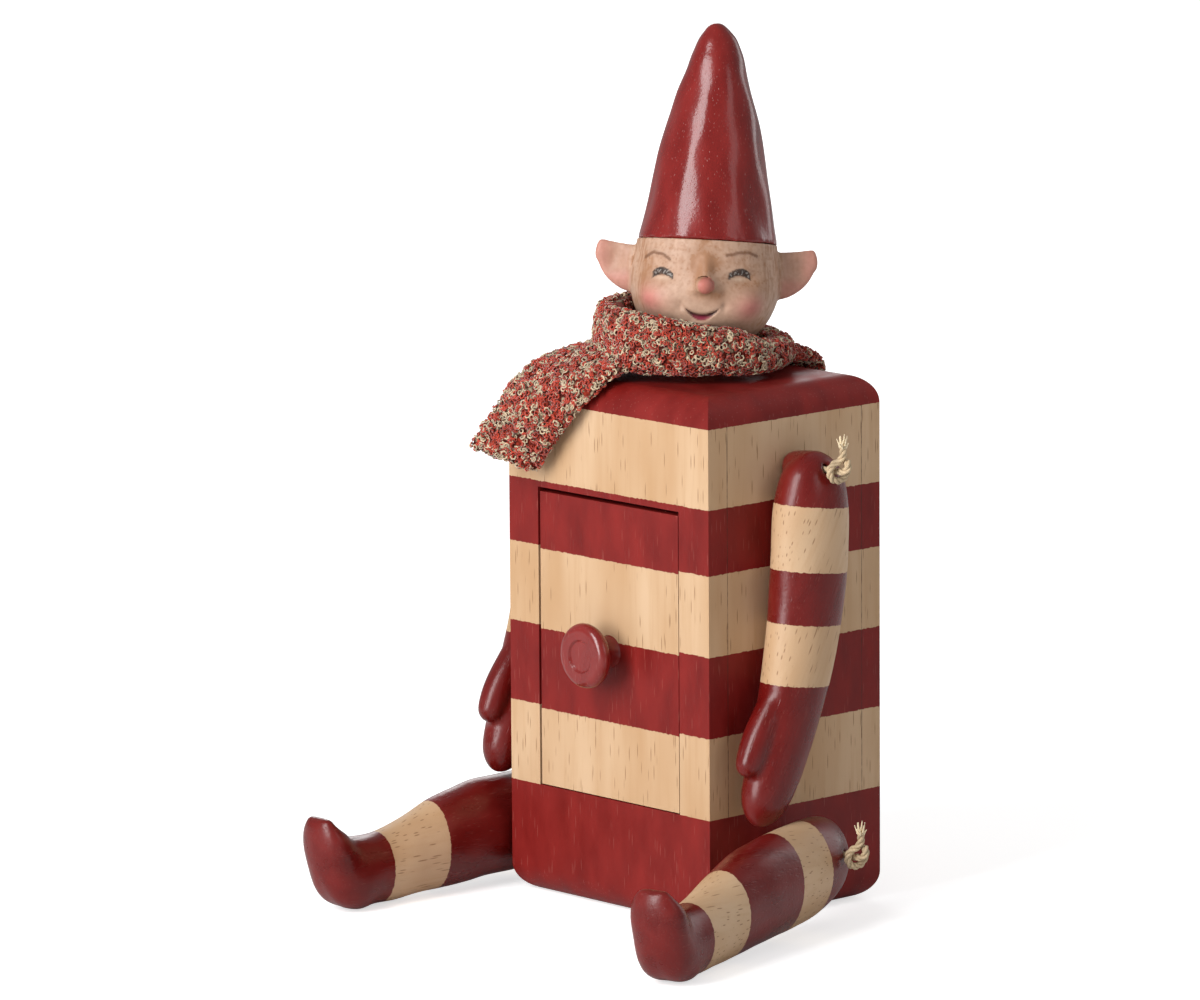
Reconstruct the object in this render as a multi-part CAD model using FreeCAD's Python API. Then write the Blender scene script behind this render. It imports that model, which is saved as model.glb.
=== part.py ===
import FreeCAD
import Part

import math
import os

from FreeCAD import Vector

# A seated wooden figure whose body is a striped box with a drawer in it. The head turns on a
# dowel, and the arms and legs swing on two cords that run through the box and are knotted outside.
# Millimetres. The origin is the centre of the box's underside, the figure faces -Y, and +Z is up.

# Points round every carved section
oval_poles = 12

# Box
box_width = 85.0
box_depth = 69.4
base_height = 33.5
wall_height = 114.8
top_thickness = 8.3
edge_radius = 8.2
front_thickness = 7.5
back_thickness = 7.5
side_thickness = 12.5
rail_height = 25.4

# Drawer
drawer_side_clearance = 0.6
drawer_floor_clearance = 0.3
drawer_top_clearance = 1.3
drawer_back_clearance = 1.0
drawer_recess = 0.3
drawer_front_thickness = 7.2
drawer_board = 5.0
drawer_side_height = 80.0
drawer_bottom_thickness = 3.0
groove_depth = 2.0
groove_rise = 3.0
groove_clearance = 0.1

# Knob on the drawer front
knob_radius = 9.6
knob_head = 4.6
knob_stem_radius = 4.0
knob_stem_flare = 0.8
knob_stem_length = 7.2
knob_dish_radius = 5.0
knob_dish_depth = 0.6
knob_screw_radius = 1.5
knob_screw_head_radius = 3.0
knob_screw_head_height = 1.8
knob_screw_bite = 7.0
screw_slot = 0.8
screw_clearance = 0.15

# Cords that carry the limbs
cord_diameter = 2.2
cord_hole_clearance = 0.35
knot_gap = 0.5
knot_extra_turns = 0
cord_tail = 5.5
tail_lean = 0.5
knot_seat = 0.35

# Arms, hung at the shoulder cord
shoulder_forward = 3.0
shoulder_drop = 13.3
left_arm_swing = 3.6
right_arm_swing = 0.0
limb_gap = 0.6
hand_below_thigh = 1.1

# Legs, hung at the hip cord
hip_height = 21.5
left_leg_angle = -1.5
right_leg_angle = 16.5
toe_pivot_reach = 88.2
toe_pivot_height = 25.6

# Head, hat and neck
neck_x = 2.0
neck_y = 2.0
head_turn = 45.0
head_lean_back = 5.0
head_lean_side = 3.2
head_pivot_rise = 14.0
brim_rise = 38.2
brim_slope = 5.0
neck_dowel_radius = 5.0
neck_clearance = 0.15
neck_dowel_bite = 14.0
neck_dowel_below = 0.4
neck_washer_radius = 8.0
neck_washer_thickness = 1.2
neck_screw_radius = 1.75
neck_screw_head_radius = 3.4
neck_screw_head_height = 2.2
neck_screw_bite = 12.0
glue_gap = 0.05

# Scarf
scarf_outer_radius = 30.0
scarf_half_radial = 5.5
scarf_extra_radial = 0.6
scarf_rise = 15.0
scarf_extra_rise = 4.6
scarf_less_rise = 4.5
scarf_high_side = 227.0
scarf_thickness = 6.0
scarf_lift = 2.2

# Places that follow from the sizes above
half_width = box_width / 2
half_depth = box_depth / 2
wall_top = base_height + wall_height
box_top = wall_top + top_thickness
front_inside = -half_depth + front_thickness
back_inside = half_depth - back_thickness
opening_half = half_width - side_thickness
opening_top = wall_top - rail_height
cord_radius = cord_diameter / 2
shoulder_height = wall_top - shoulder_drop
X = Vector(1, 0, 0)
Y = Vector(0, 1, 0)
Z = Vector(0, 0, 1)


def export(shape, name):
    """Write one node and say what it holds."""
    solids = shape.Solids
    good = bool(solids) and shape.isValid()
    volume = sum(solid.Volume for solid in solids)
    print(f"{name}: {len(solids)} solid(s), {volume:.0f} mm3, valid {good}")
    shape.exportStep(f"parts/{name}.step")


def block(x_low, x_high, y_low, y_high, z_low, z_high):
    """A plain board between six planes."""
    return Part.makeBox(x_high - x_low, y_high - y_low, z_high - z_low, Vector(x_low, y_low, z_low))


def rod(start, direction, radius, length):
    """A round bar or drill from a point along a direction."""
    return Part.makeCylinder(radius, length, start, direction)


def rounded_slab(z_flat, z_round, radius):
    """A slab of the box's plan whose edges on the z_round side are rounded over, with mitred corners."""
    inward = 1 if z_flat > z_round else -1

    def profile(half, place):
        corner = radius * (1 - math.sqrt(0.5))
        points = [
            place(-half, z_flat),
            place(half, z_flat),
            place(half, z_round + inward * radius),
            place(half - corner, z_round + inward * corner),
            place(half - radius, z_round),
            place(radius - half, z_round),
            place(corner - half, z_round + inward * corner),
            place(-half, z_round + inward * radius),
        ]
        edges = [
            Part.makeLine(points[0], points[1]),
            Part.makeLine(points[1], points[2]),
            Part.Arc(points[2], points[3], points[4]).toShape(),
            Part.makeLine(points[4], points[5]),
            Part.Arc(points[5], points[6], points[7]).toShape(),
            Part.makeLine(points[7], points[0]),
        ]
        return Part.Face(Part.Wire(edges))

    across = profile(half_width, lambda u, z: Vector(u, -half_depth, z))
    along = profile(half_depth, lambda u, z: Vector(-half_width, u, z))
    return across.extrude(Y * box_depth).common(along.extrude(X * box_width))


def oval(centre, u_axis, v_axis, half_u, half_v):
    """The poles of a closed smooth oval in the plane of two unit axes."""
    step = 2 * math.pi / oval_poles
    swell = 3 / (2 + math.cos(step))
    turns = [step * k for k in range(oval_poles)]
    return [
        centre + u_axis * (swell * half_u * math.cos(turn)) + v_axis * (swell * half_v * math.sin(turn))
        for turn in turns
    ]


def skin(ovals):
    """A solid with one smooth surface drawn along ovals and a small flat at each end."""
    around = len(ovals[0])
    spans = len(ovals) - 3
    surface = Part.BSplineSurface()
    surface.buildFromPolesMultsKnots(
        [[ring[k] for ring in ovals] for k in range(around)],
        [1] * (around + 1), [4] + [1] * (spans - 1) + [4],
        list(range(around + 1)), list(range(spans + 1)),
        True, False, 3, 3,
    )
    side = surface.toShape()
    ends = [Part.Face(Part.Wire(surface.vIso(place).toShape())) for place in (0, spans)]
    shell = Part.makeShell([side] + ends)
    shell.sewShape()
    return outside_out(Part.makeSolid(shell))


def ring_skin(ovals):
    """A solid ring with one smooth surface drawn through ovals all the way round."""
    around, along = len(ovals[0]), len(ovals)
    surface = Part.BSplineSurface()
    surface.buildFromPolesMultsKnots(
        [[ring[k] for ring in ovals] for k in range(around)],
        [1] * (around + 1), [1] * (along + 1),
        list(range(around + 1)), list(range(along + 1)),
        True, True, 3, 3,
    )
    return outside_out(Part.makeSolid(Part.makeShell([surface.toShape()])))


def outside_out(solid):
    if solid.Volume < 0:
        solid.reverse()
    return solid


def dome(centre, outward, u_axis, v_axis, half_u, half_v, length):
    """Ovals that round off the end of a skin, from its last full oval to a small tip."""
    angles = [math.radians(a) for a in (28, 52, 70, 82)]
    return [
        oval(
            centre + outward * (length * math.sin(angle)), u_axis, v_axis,
            half_u * math.cos(angle), half_v * math.cos(angle),
        )
        for angle in angles
    ]


def base_block():
    """The red foot of the box, drilled across for the hip cord."""
    drill = rod(Vector(-half_width, 0, hip_height), X, cord_radius + cord_hole_clearance, box_width)
    return rounded_slab(base_height, 0, edge_radius).cut(drill)


def top_board():
    """The rounded top, bored for the neck dowel."""
    slab = rounded_slab(wall_top, box_top, min(edge_radius, top_thickness))
    bore = rod(Vector(neck_x, neck_y, wall_top), Z, neck_dowel_radius + neck_clearance, top_thickness)
    return slab.cut(bore)


def front_frame():
    """The front board, with the drawer's opening sawn out from its lower edge."""
    board = block(-half_width, half_width, -half_depth, front_inside, base_height, wall_top)
    return board.cut(block(-opening_half, opening_half, -half_depth, front_inside, base_height, opening_top))


def back_board():
    return block(-half_width, half_width, back_inside, half_depth, base_height, wall_top)


def side_board(side):
    """A side between the front and back boards, drilled for the shoulder cord."""
    x_low, x_high = sorted((side * opening_half, side * half_width))
    board = block(x_low, x_high, front_inside, back_inside, base_height, wall_top)
    start = Vector(x_low, -shoulder_forward, shoulder_height)
    return board.cut(rod(start, X, cord_radius + cord_hole_clearance, side_thickness))


# The drawer's own planes
drawer_half = opening_half - drawer_side_clearance
drawer_low = base_height + drawer_floor_clearance
drawer_high = opening_top - drawer_top_clearance
drawer_face = -half_depth + drawer_recess
drawer_front_back = drawer_face + drawer_front_thickness
drawer_end = back_inside - drawer_back_clearance
drawer_side_top = drawer_low + drawer_side_height
panel_low = drawer_low + groove_rise
panel_high = panel_low + drawer_bottom_thickness
knob_height = (drawer_low + drawer_high) / 2


def panel_space(grow):
    """The drawer bottom's own block, or with growth the groove that holds it."""
    reach = drawer_half - drawer_board + groove_depth - groove_clearance + grow
    return block(
        -reach, reach,
        drawer_front_back - groove_depth + groove_clearance - grow, drawer_end,
        panel_low - grow, panel_high + grow,
    )


def drawer_front():
    """The drawer's face, grooved for the bottom and drilled for the knob's screw."""
    board = block(-drawer_half, drawer_half, drawer_face, drawer_front_back, drawer_low, drawer_high)
    start = Vector(0, drawer_face, knob_height)
    hole = rod(start, Y, knob_screw_radius + screw_clearance, drawer_front_thickness)
    return board.cut(panel_space(groove_clearance)).cut(hole)


def drawer_side(side):
    x_low, x_high = sorted((side * (drawer_half - drawer_board), side * drawer_half))
    board = block(x_low, x_high, drawer_front_back, drawer_end, drawer_low, drawer_side_top)
    return board.cut(panel_space(groove_clearance))


def drawer_back():
    """The back board stands on the bottom, between the sides."""
    reach = drawer_half - drawer_board
    low = panel_high + groove_clearance
    return block(-reach, reach, drawer_end - drawer_board, drawer_end, low, drawer_side_top)


def knob():
    """A turned knob: a waisted stem, a rounded rim and a shallow dish in the face."""
    stem, rim = knob_stem_length, knob_head / 2
    face = stem + knob_head
    outline = [
        (0, 0), (knob_stem_radius + knob_stem_flare, 0), (knob_stem_radius, stem * 0.45),
        (knob_stem_radius + knob_stem_flare * 0.6, stem * 0.85),
        (knob_radius - rim, stem), (knob_radius, stem + rim), (knob_radius - rim, face),
        (knob_dish_radius, face), (knob_dish_radius - knob_dish_depth, face - knob_dish_depth),
        (0, face - knob_dish_depth),
    ]
    points = [Vector(r, drawer_face - reach, knob_height) for r, reach in outline]
    edges = [
        Part.makeLine(points[0], points[1]),
        Part.Arc(points[1], points[2], points[3]).toShape(),
        Part.makeLine(points[3], points[4]),
        Part.Arc(points[4], points[5], points[6]).toShape(),
        Part.makeLine(points[6], points[7]),
        Part.makeLine(points[7], points[8]),
        Part.makeLine(points[8], points[9]),
        Part.makeLine(points[9], points[0]),
    ]
    turned = Part.Face(Part.Wire(edges)).revolve(Vector(0, 0, knob_height), Y, 360)
    start = Vector(0, drawer_face, knob_height)
    pilot = rod(start, -Y, knob_screw_radius + glue_gap, knob_screw_bite + screw_clearance)
    return turned.cut(pilot)


def knob_screw():
    """The screw that holds the knob, put in from inside the drawer."""
    seat = Vector(0, drawer_front_back, knob_height)
    shank = rod(seat, -Y, knob_screw_radius, drawer_front_thickness + knob_screw_bite)
    small = knob_screw_head_radius * 0.7
    head = Part.makeCone(knob_screw_head_radius, small, knob_screw_head_height, seat, Y)
    slot = block(
        -knob_screw_head_radius, knob_screw_head_radius,
        seat.y + knob_screw_head_height / 2, seat.y + knob_screw_head_height,
        knob_height - screw_slot / 2, knob_height + screw_slot / 2,
    )
    return shank.fuse(head).removeSplitter().cut(slot)


def tangents(points):
    """A unit direction at each point of an open line."""
    ends = [points[0]] + points + [points[-1]]
    return [(ends[k + 2] - ends[k]).normalize() for k in range(len(points))]


# A leg's stations forward of the hip hole: reach, height of its middle, half its height, half its width
leg_stations = [
    (0.5, 19.5, 12.4, 8.8),
    (8.0, 18.4, 14.2, 10.2),
    (18.0, 17.6, 14.7, 10.7),
    (28.0, 17.3, 14.9, 10.7),
    (38.0, 17.0, 14.9, 10.4),
    (49.0, 15.9, 14.4, 9.9),
    (61.0, 13.6, 12.5, 9.2),
    (73.0, 11.3, 10.8, 8.7),
    (82.0, 10.6, 10.4, 8.5),
]
leg_crown = 5.5
# The foot fans up about the pivot above the instep: angle, nearest and furthest reach, half its width
foot_stations = [
    (0.0, 4.6, 25.4, 8.6),
    (14.0, 4.2, 24.2, 8.8),
    (32.0, 3.7, 20.0, 8.8),
    (54.0, 3.6, 15.4, 8.4),
    (76.0, 4.8, 13.2, 7.2),
    (96.0, 7.2, 12.4, 5.0),
]
toe_tip = 2.4
leg_half_thickness = max(wide for _, _, _, wide in leg_stations)
thigh_top = max(middle + high for _, middle, high, _ in leg_stations)


# An arm's stations below the shoulder hole: share of its reach, lean forward, half its depth and thickness
arm_stations = [
    (0.062, -0.1, 11.2, 9.1),
    (0.110, 0.2, 12.3, 9.4),
    (0.174, 0.4, 13.1, 9.4),
    (0.289, 1.0, 12.8, 9.4),
    (0.405, 2.4, 12.3, 9.2),
    (0.521, 4.8, 11.8, 9.0),
    (0.608, 6.9, 11.2, 8.7),
    (0.704, 10.0, 10.4, 8.4),
    (0.800, 14.0, 9.3, 8.0),
    (0.882, 17.6, 8.3, 7.2),
]
arm_crown = 11.2
arm_tip = 12.9
# The thumb's stations in the same frame, with its radius
thumb_stations = [(0.598, 11.0, 4.6), (0.675, 17.0, 5.0), (0.752, 22.5, 4.8), (0.810, 25.6, 4.0)]
thumb_tip = 4.2
arm_reach = shoulder_height - thigh_top + hand_below_thigh
arm_half_thickness = max(thick for _, _, _, thick in arm_stations)


def arm(side, swing):
    """One carved arm and mitten, from the crown over the shoulder hole to the fingertips."""
    centre_x = side * (half_width + limb_gap + arm_half_thickness)

    def place(share, forward):
        return Vector(centre_x, -shoulder_forward - forward, shoulder_height - share * arm_reach)

    spine = [place(share, forward) for share, forward, _, _ in arm_stations]
    runs = tangents(spine)
    wires = [
        oval(point, X, run.cross(X), thick, deep)
        for point, run, (_, _, deep, thick) in zip(spine, runs, arm_stations)
    ]
    first, last = arm_stations[0], arm_stations[-1]
    crown = dome(spine[0], -runs[0], X, runs[0].cross(X), first[3], first[2], arm_crown)
    tip = dome(spine[-1], runs[-1], X, runs[-1].cross(X), last[3], last[2], arm_tip)
    limb = skin(crown[::-1] + wires + tip)

    thumb_line = [place(share, forward) for share, forward, _ in thumb_stations]
    thumb_runs = tangents(thumb_line)
    thumb_wires = [
        oval(point, X, run.cross(X), radius, radius)
        for point, run, (_, _, radius) in zip(thumb_line, thumb_runs, thumb_stations)
    ]
    end_radius = thumb_stations[-1][2]
    end = dome(thumb_line[-1], thumb_runs[-1], X, thumb_runs[-1].cross(X), end_radius, end_radius, thumb_tip)
    hand = limb.fuse(skin(thumb_wires + end))
    hand.rotate(Vector(0, -shoulder_forward, shoulder_height), X, -swing)
    start = Vector(0, -shoulder_forward, shoulder_height)
    return hand.cut(rod(start, X * side, cord_radius + cord_hole_clearance, box_width))


def leg(side, splay):
    """One carved leg with its turned-up foot, lying forward from the hip hole."""
    centre_x = side * (half_width + limb_gap + leg_half_thickness)
    wires = [
        oval(Vector(centre_x, -reach, middle), X, Z, wide, high)
        for reach, middle, high, wide in leg_stations
    ]
    reach, middle, high, wide = leg_stations[0]
    crown = dome(Vector(centre_x, -reach, middle), Y, X, Z, wide, high, leg_crown)
    pivot = Vector(centre_x, -toe_pivot_reach, toe_pivot_height)
    fan = []
    for angle, near, far, wide in foot_stations:
        turn = math.radians(angle)
        outward = Vector(0, -math.sin(turn), -math.cos(turn))
        fan.append(oval(pivot + outward * ((near + far) / 2), X, -outward, wide, (far - near) / 2))
    upward = Vector(0, -outward.z, outward.y) * -1
    toe = dome(pivot + outward * ((near + far) / 2), upward, X, -outward, wide, (far - near) / 2, toe_tip)
    limb = skin(crown[::-1] + wires + fan + toe)
    limb.rotate(Vector(centre_x, 0, 0), Z, splay)
    drill = rod(Vector(0, 0, hip_height), X * side, cord_radius + cord_hole_clearance, box_width)
    return limb.cut(drill)


def arc_through(start, heading, end):
    """The arc that leaves a point on a heading and ends at another point, with its last heading."""
    chord = end - start
    swing = heading.getAngle(chord)
    if swing < 1e-4:
        return Part.makeLine(start, end), heading
    side = (chord - heading * chord.dot(heading)).normalize()
    radius = chord.Length / (2 * math.sin(swing))
    centre = start + side * radius
    middle = centre - side * (radius * math.cos(swing)) + heading * (radius * math.sin(swing))
    last = heading * math.cos(2 * swing) + side * math.sin(2 * swing)
    return Part.Arc(start, middle, end).toShape(), last


def biarc(start, heading, end, last):
    """Two tangent arcs from one point and heading to another."""
    chord = end - start
    bend = heading + last
    a = 2 * (1 - heading.dot(last))
    b = 2 * chord.dot(bend)
    c = -chord.dot(chord)
    if abs(a) < 1e-9:
        reach = -c / b
    else:
        reach = (-b + math.sqrt(b * b - 4 * a * c)) / (2 * a)
    joint = (start + heading * reach + end - last * reach) * 0.5
    first, turned = arc_through(start, heading, joint)
    second, _ = arc_through(joint, turned, end)
    return [first, second]


def knot_edges(side, surface, y, z):
    """A stopper knot outside a limb: the cord doubles back, winds round itself and ends in a tail."""
    winding = cord_diameter + knot_gap
    lead = cord_diameter + knot_gap
    low = knot_seat + cord_radius
    first_angle = math.radians(55)
    last_angle = math.radians(270 + 360 * knot_extra_turns)
    climb = lead / (2 * math.pi)
    turn_at = low + climb * (last_angle - first_angle) + winding * 0.55

    def world(out, across, up):
        return Vector(side * (surface + out), y + across, z + up)

    def on_winding(angle):
        out = low + climb * (last_angle - angle)
        spot = world(out, winding * math.sin(angle), winding * math.cos(angle))
        run = Vector(-side * climb, winding * math.cos(angle), -winding * math.sin(angle)).normalize()
        return spot, run

    start = world(turn_at, 0, 0)
    back = world(turn_at, 0, winding)
    edges = [Part.Arc(start, world(turn_at + winding / 2, 0, winding / 2), back).toShape()]
    spot, run = on_winding(first_angle)
    edges += biarc(back, Vector(-side, 0, 0), spot, run)
    steps = math.ceil((last_angle - first_angle) / (math.pi / 2))
    for k in range(steps):
        ahead, heading = on_winding(first_angle + (last_angle - first_angle) * (k + 1) / steps)
        edges += biarc(spot, run, ahead, heading)
        spot, run = ahead, heading
    rise = (Z + X * (side * tail_lean)).normalize()
    foot = spot + run * cord_diameter + rise * cord_diameter
    edges += biarc(spot, run, foot, rise)
    edges.append(Part.makeLine(foot, foot + rise * cord_tail))
    return start, edges


def cord(y, z, left_surface, right_surface):
    """One cord through both limbs and the box, with a knot outside each limb, as one unbroken tube."""
    left_start, left_edges = knot_edges(-1, left_surface, y, z)
    right_start, right_edges = knot_edges(1, right_surface, y, z)
    edges = left_edges + [Part.makeLine(left_start, right_start)] + right_edges
    path = Part.Wire(Part.__sortEdges__(edges))
    tail = left_edges[-1]
    tip, heading = tail.Vertexes[-1].Point, tail.tangentAt(tail.LastParameter)
    section = Part.Wire(Part.Circle(tip, heading, cord_radius).toShape())
    shell = Part.BRepOffsetAPI.MakePipeShell(path)
    shell.add(section, False, False)
    shell.build()
    shell.makeSolid()
    tube = shell.shape()
    expected = math.pi * cord_radius**2 * path.Length
    print(f"cord: {path.Length:.1f} mm long, volume {tube.Volume:.1f} of {expected:.1f} mm3")
    print(f"cord: least gap to itself {least_gap(path):.2f} mm")
    return tube


def least_gap(path):
    """The least distance between parts of the tube that are more than a bend apart along it."""
    count = int(path.Length / 0.4)
    points = path.discretize(Number=count)
    step = path.Length / (count - 1)
    apart = math.ceil(cord_diameter * 2.2 / step)
    nearest = min(
        (points[i] - points[j]).Length for i in range(count) for j in range(i + apart, count)
    )
    return nearest - cord_diameter


def outer_face(limb, side, y, z):
    """How far out the limb's surface reaches under its knot."""
    knot_reach = cord_diameter + knot_gap + cord_radius
    probe = rod(Vector(0, y, z), X * side, knot_reach, box_width * 2)
    bounds = limb.common(probe).optimalBoundingBox(False)
    return bounds.XMax if side > 0 else -bounds.XMin


# Ovals of the head above the box top: rise, half its width, half its depth
head_stations = [
    (3.0, 7.5, 7.5),
    (6.0, 9.5, 9.5),
    (10.0, 14.0, 14.0),
    (14.0, 18.2, 18.0),
    (18.5, 20.4, 20.2),
    (23.0, 21.3, 21.0),
    (29.0, 21.2, 20.8),
    (35.0, 20.6, 20.4),
    (44.0, 20.2, 20.2),
]
# The hat's outline above the brim: rise, radius
hat_outline = [
    (4.0, 19.6), (11.5, 17.9), (19.0, 16.6), (26.5, 15.5),
    (34.0, 14.0), (41.5, 12.0), (49.0, 9.4), (56.5, 6.4),
]
hat_brim_radius = 20.5
hat_hem = 6.0
hat_hem_flare = 1.2
hat_height = 64.6
face_reach = 20.8
nose_radius = 2.6
nose_rise = 26.8
# An ear's ovals out from the middle of the head: reach, rise, half its height, half its thickness
ear_stations = [
    (16.0, 28.9, 7.2, 2.4),
    (22.0, 29.0, 7.1, 2.2),
    (25.3, 30.0, 6.5, 1.9),
    (28.7, 31.8, 5.1, 1.6),
    (30.8, 34.1, 3.3, 1.3),
]
ear_sweep = 0.2
ear_tip = 1.4


def head_pose(shape):
    """Lean and turn a piece that is modelled upright and facing -Y over the neck."""
    pivot = Vector(0, 0, head_pivot_rise)
    shape.rotate(pivot, X, -head_lean_back)
    shape.rotate(pivot, Y, head_lean_side)
    shape.rotate(Vector(0, 0, 0), Z, head_turn)
    shape.translate(Vector(neck_x, neck_y, box_top))
    return shape


def brim_cut(keep_below):
    """A big block on one side of the sloping brim."""
    size = box_width
    height = size if not keep_below else -size
    cutter = block(-size, size, -size, size, min(0, height), max(0, height))
    cutter.rotate(Vector(0, 0, 0), X, -brim_slope)
    cutter.translate(Vector(0, 0, brim_rise))
    return cutter


def ear(side):
    """A pointed ear that stands out from the side of the head and sweeps back a little."""
    wires = [
        oval(Vector(reach, (reach - ear_stations[0][0]) * ear_sweep, rise), Z, Y, high, thick)
        for reach, rise, high, thick in ear_stations
    ]
    reach, rise, high, thick = ear_stations[-1]
    end = Vector(reach, (reach - ear_stations[0][0]) * ear_sweep, rise)
    leaf = skin(wires + dome(end, X, Z, Y, high, thick, ear_tip))
    return leaf if side > 0 else leaf.mirror(Vector(0, 0, 0), X)


def head():
    """The carved head with its ears and nose, cut off along the brim and socketed for the neck dowel."""
    wires = [oval(Vector(0, 0, rise), X, Y, wide, deep) for rise, wide, deep in head_stations]
    skull = skin(wires)
    nose = Part.makeSphere(nose_radius, Vector(0, -face_reach - nose_radius * 0.45, nose_rise))
    shape = skull.fuse([nose, ear(1), ear(-1)]).common(brim_cut(True))
    shape = head_pose(shape)
    start = Vector(neck_x, neck_y, box_top)
    return shape.cut(rod(start, Z, neck_dowel_radius + glue_gap, neck_dowel_bite + glue_gap))


def hat():
    """The tall pointed hat, glued on the head along the brim."""
    hem_radius = hat_brim_radius + hat_hem_flare
    wires = [oval(Vector(0, 0, brim_rise - hat_hem), X, Y, hem_radius, hem_radius)]
    wires += [oval(Vector(0, 0, brim_rise), X, Y, hat_brim_radius, hat_brim_radius)]
    wires += [oval(Vector(0, 0, brim_rise + rise), X, Y, radius, radius) for rise, radius in hat_outline]
    rise, radius = hat_outline[-1]
    wires += dome(Vector(0, 0, brim_rise + rise), Z, X, Y, radius, radius, hat_height - rise)
    return head_pose(skin(wires).common(brim_cut(False)))


def neck_dowel():
    """The dowel glued in the head that turns in the top board."""
    low = wall_top - neck_dowel_below
    body = rod(Vector(neck_x, neck_y, low), Z, neck_dowel_radius, box_top + neck_dowel_bite - low)
    pilot = rod(Vector(neck_x, neck_y, low), Z, neck_screw_radius + glue_gap, neck_screw_bite + glue_gap)
    return body.cut(pilot)


def neck_washer():
    """The washer under the top board that keeps the dowel in."""
    low = wall_top - neck_dowel_below - neck_washer_thickness
    disc = rod(Vector(neck_x, neck_y, low), Z, neck_washer_radius, neck_washer_thickness)
    hole = rod(Vector(neck_x, neck_y, low), Z, neck_screw_radius + screw_clearance, neck_washer_thickness)
    return disc.cut(hole)


def neck_screw():
    """The screw up through the washer into the dowel."""
    seat = wall_top - neck_dowel_below - neck_washer_thickness
    shank = rod(Vector(neck_x, neck_y, seat), Z, neck_screw_radius, neck_washer_thickness + neck_screw_bite)
    under = Vector(neck_x, neck_y, seat - neck_screw_head_height)
    crown = rod(under, Z, neck_screw_head_radius, neck_screw_head_height)
    slot = block(
        neck_x - neck_screw_head_radius, neck_x + neck_screw_head_radius,
        neck_y - screw_slot / 2, neck_y + screw_slot / 2,
        seat - neck_screw_head_height, seat - neck_screw_head_height / 2,
    )
    return shank.fuse(crown).removeSplitter().cut(slot)


# The scarf's tails from the wrap outwards: both edges of the strip, as x, distance past the box's face, rise
front_tail = [
    ((-23, -22.7, 6.4), (4, -9.7, 6.4)),
    ((-28.5, -11.2, 5.9), (4.5, -4.7, 4.4)),
    ((-33.5, 0.3, 1.9), (-1, 2.8, -0.6)),
    ((-36.5, 8.3, -6.1), (-8.5, 4.5, -10.6)),
    ((-39.5, 13.3, -14.1), (-17.5, 4.3, -20.1)),
    ((-42, 17.3, -21.1), (-26, 4.3, -28.6)),
]
back_tail = [
    ((18, -20.7, 5.4), (-6, -12.7, 5.4)),
    ((17, -8.7, 3.2), (-7, -4.7, 3.2)),
    ((16, 4.3, 3.4), (-7, 4.3, 3.4)),
    ((15.5, 4.3, -6.6), (-7, 4.3, -6.6)),
    ((15, 3.8, -17.6), (-7.5, 3.8, -17.6)),
    ((14.5, 3.5, -28.6), (-8, 3.5, -28.6)),
]


def strip(stations, facing):
    """A tail of the scarf: a flat oval strip drawn between two edge lines, over the front or the back."""
    edges = [
        [Vector(x, facing * (half_depth + past), box_top + rise) for x, past, rise in pair]
        for pair in stations
    ]
    middles = [(left + right) * 0.5 for left, right in edges]
    ovals = []
    for (left, right), middle, run in zip(edges, middles, tangents(middles)):
        across = right - left
        half = across.Length / 2
        across.normalize()
        ovals.append(oval(middle, across, across.cross(run).normalize(), half, scarf_thickness / 2))
    return skin(ovals)


def scarf():
    """The knitted scarf: a plump wrap round the neck, highest at its left, and two hanging tails."""
    swell = 3 / (2 + math.cos(2 * math.pi / oval_poles))
    high_side = math.radians(scarf_high_side)
    ovals = []
    for k in range(oval_poles):
        angle = 2 * math.pi * k / oval_poles
        share = math.cos(angle - high_side)
        half_rise = (scarf_rise + scarf_extra_rise * max(share, 0) + scarf_less_rise * min(share, 0)) / 2
        half_radial = scarf_half_radial + scarf_extra_radial * share
        outward = Vector(math.cos(angle), math.sin(angle), 0)
        centre = outward * (swell * (scarf_outer_radius - half_radial))
        centre += Z * (box_top + scarf_lift + half_rise)
        ovals.append(oval(centre, outward, Z, half_radial, half_rise))
    return ring_skin(ovals).fuse([strip(front_tail, -1), strip(back_tail, 1)])


def main():
    os.makedirs("parts", exist_ok=True)
    export(base_block(), "base_block")
    export(top_board(), "top_board")
    export(front_frame(), "front_frame")
    export(back_board(), "back_board")
    export(drawer_front(), "drawer_front")
    export(drawer_back(), "drawer_back")
    export(panel_space(0), "drawer_bottom")
    export(knob(), "drawer_knob")
    export(knob_screw(), "knob_screw")
    export(neck_dowel(), "neck_dowel")
    export(neck_washer(), "neck_washer")
    export(neck_screw(), "neck_screw")
    export(head(), "head")
    export(hat(), "hat")
    export(scarf(), "scarf")
    surfaces = {}
    for side, name, swing, splay in (
        (-1, "left", left_arm_swing, left_leg_angle),
        (1, "right", right_arm_swing, right_leg_angle),
    ):
        export(side_board(side), f"{name}_side_board")
        export(drawer_side(side), f"drawer_{name}_side")
        upper, lower = arm(side, swing), leg(side, splay)
        export(upper, f"{name}_arm")
        export(lower, f"{name}_leg")
        surfaces["arm", side] = outer_face(upper, side, -shoulder_forward, shoulder_height)
        surfaces["leg", side] = outer_face(lower, side, 0, hip_height)
    left, right = surfaces["arm", -1], surfaces["arm", 1]
    export(cord(-shoulder_forward, shoulder_height, left, right), "shoulder_cord")
    export(cord(0, hip_height, surfaces["leg", -1], surfaces["leg", 1]), "hip_cord")


main()
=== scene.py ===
"""Looks of a jointed wooden elf whose body is a striped box with a drawer, laid out as an add-on."""

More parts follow.
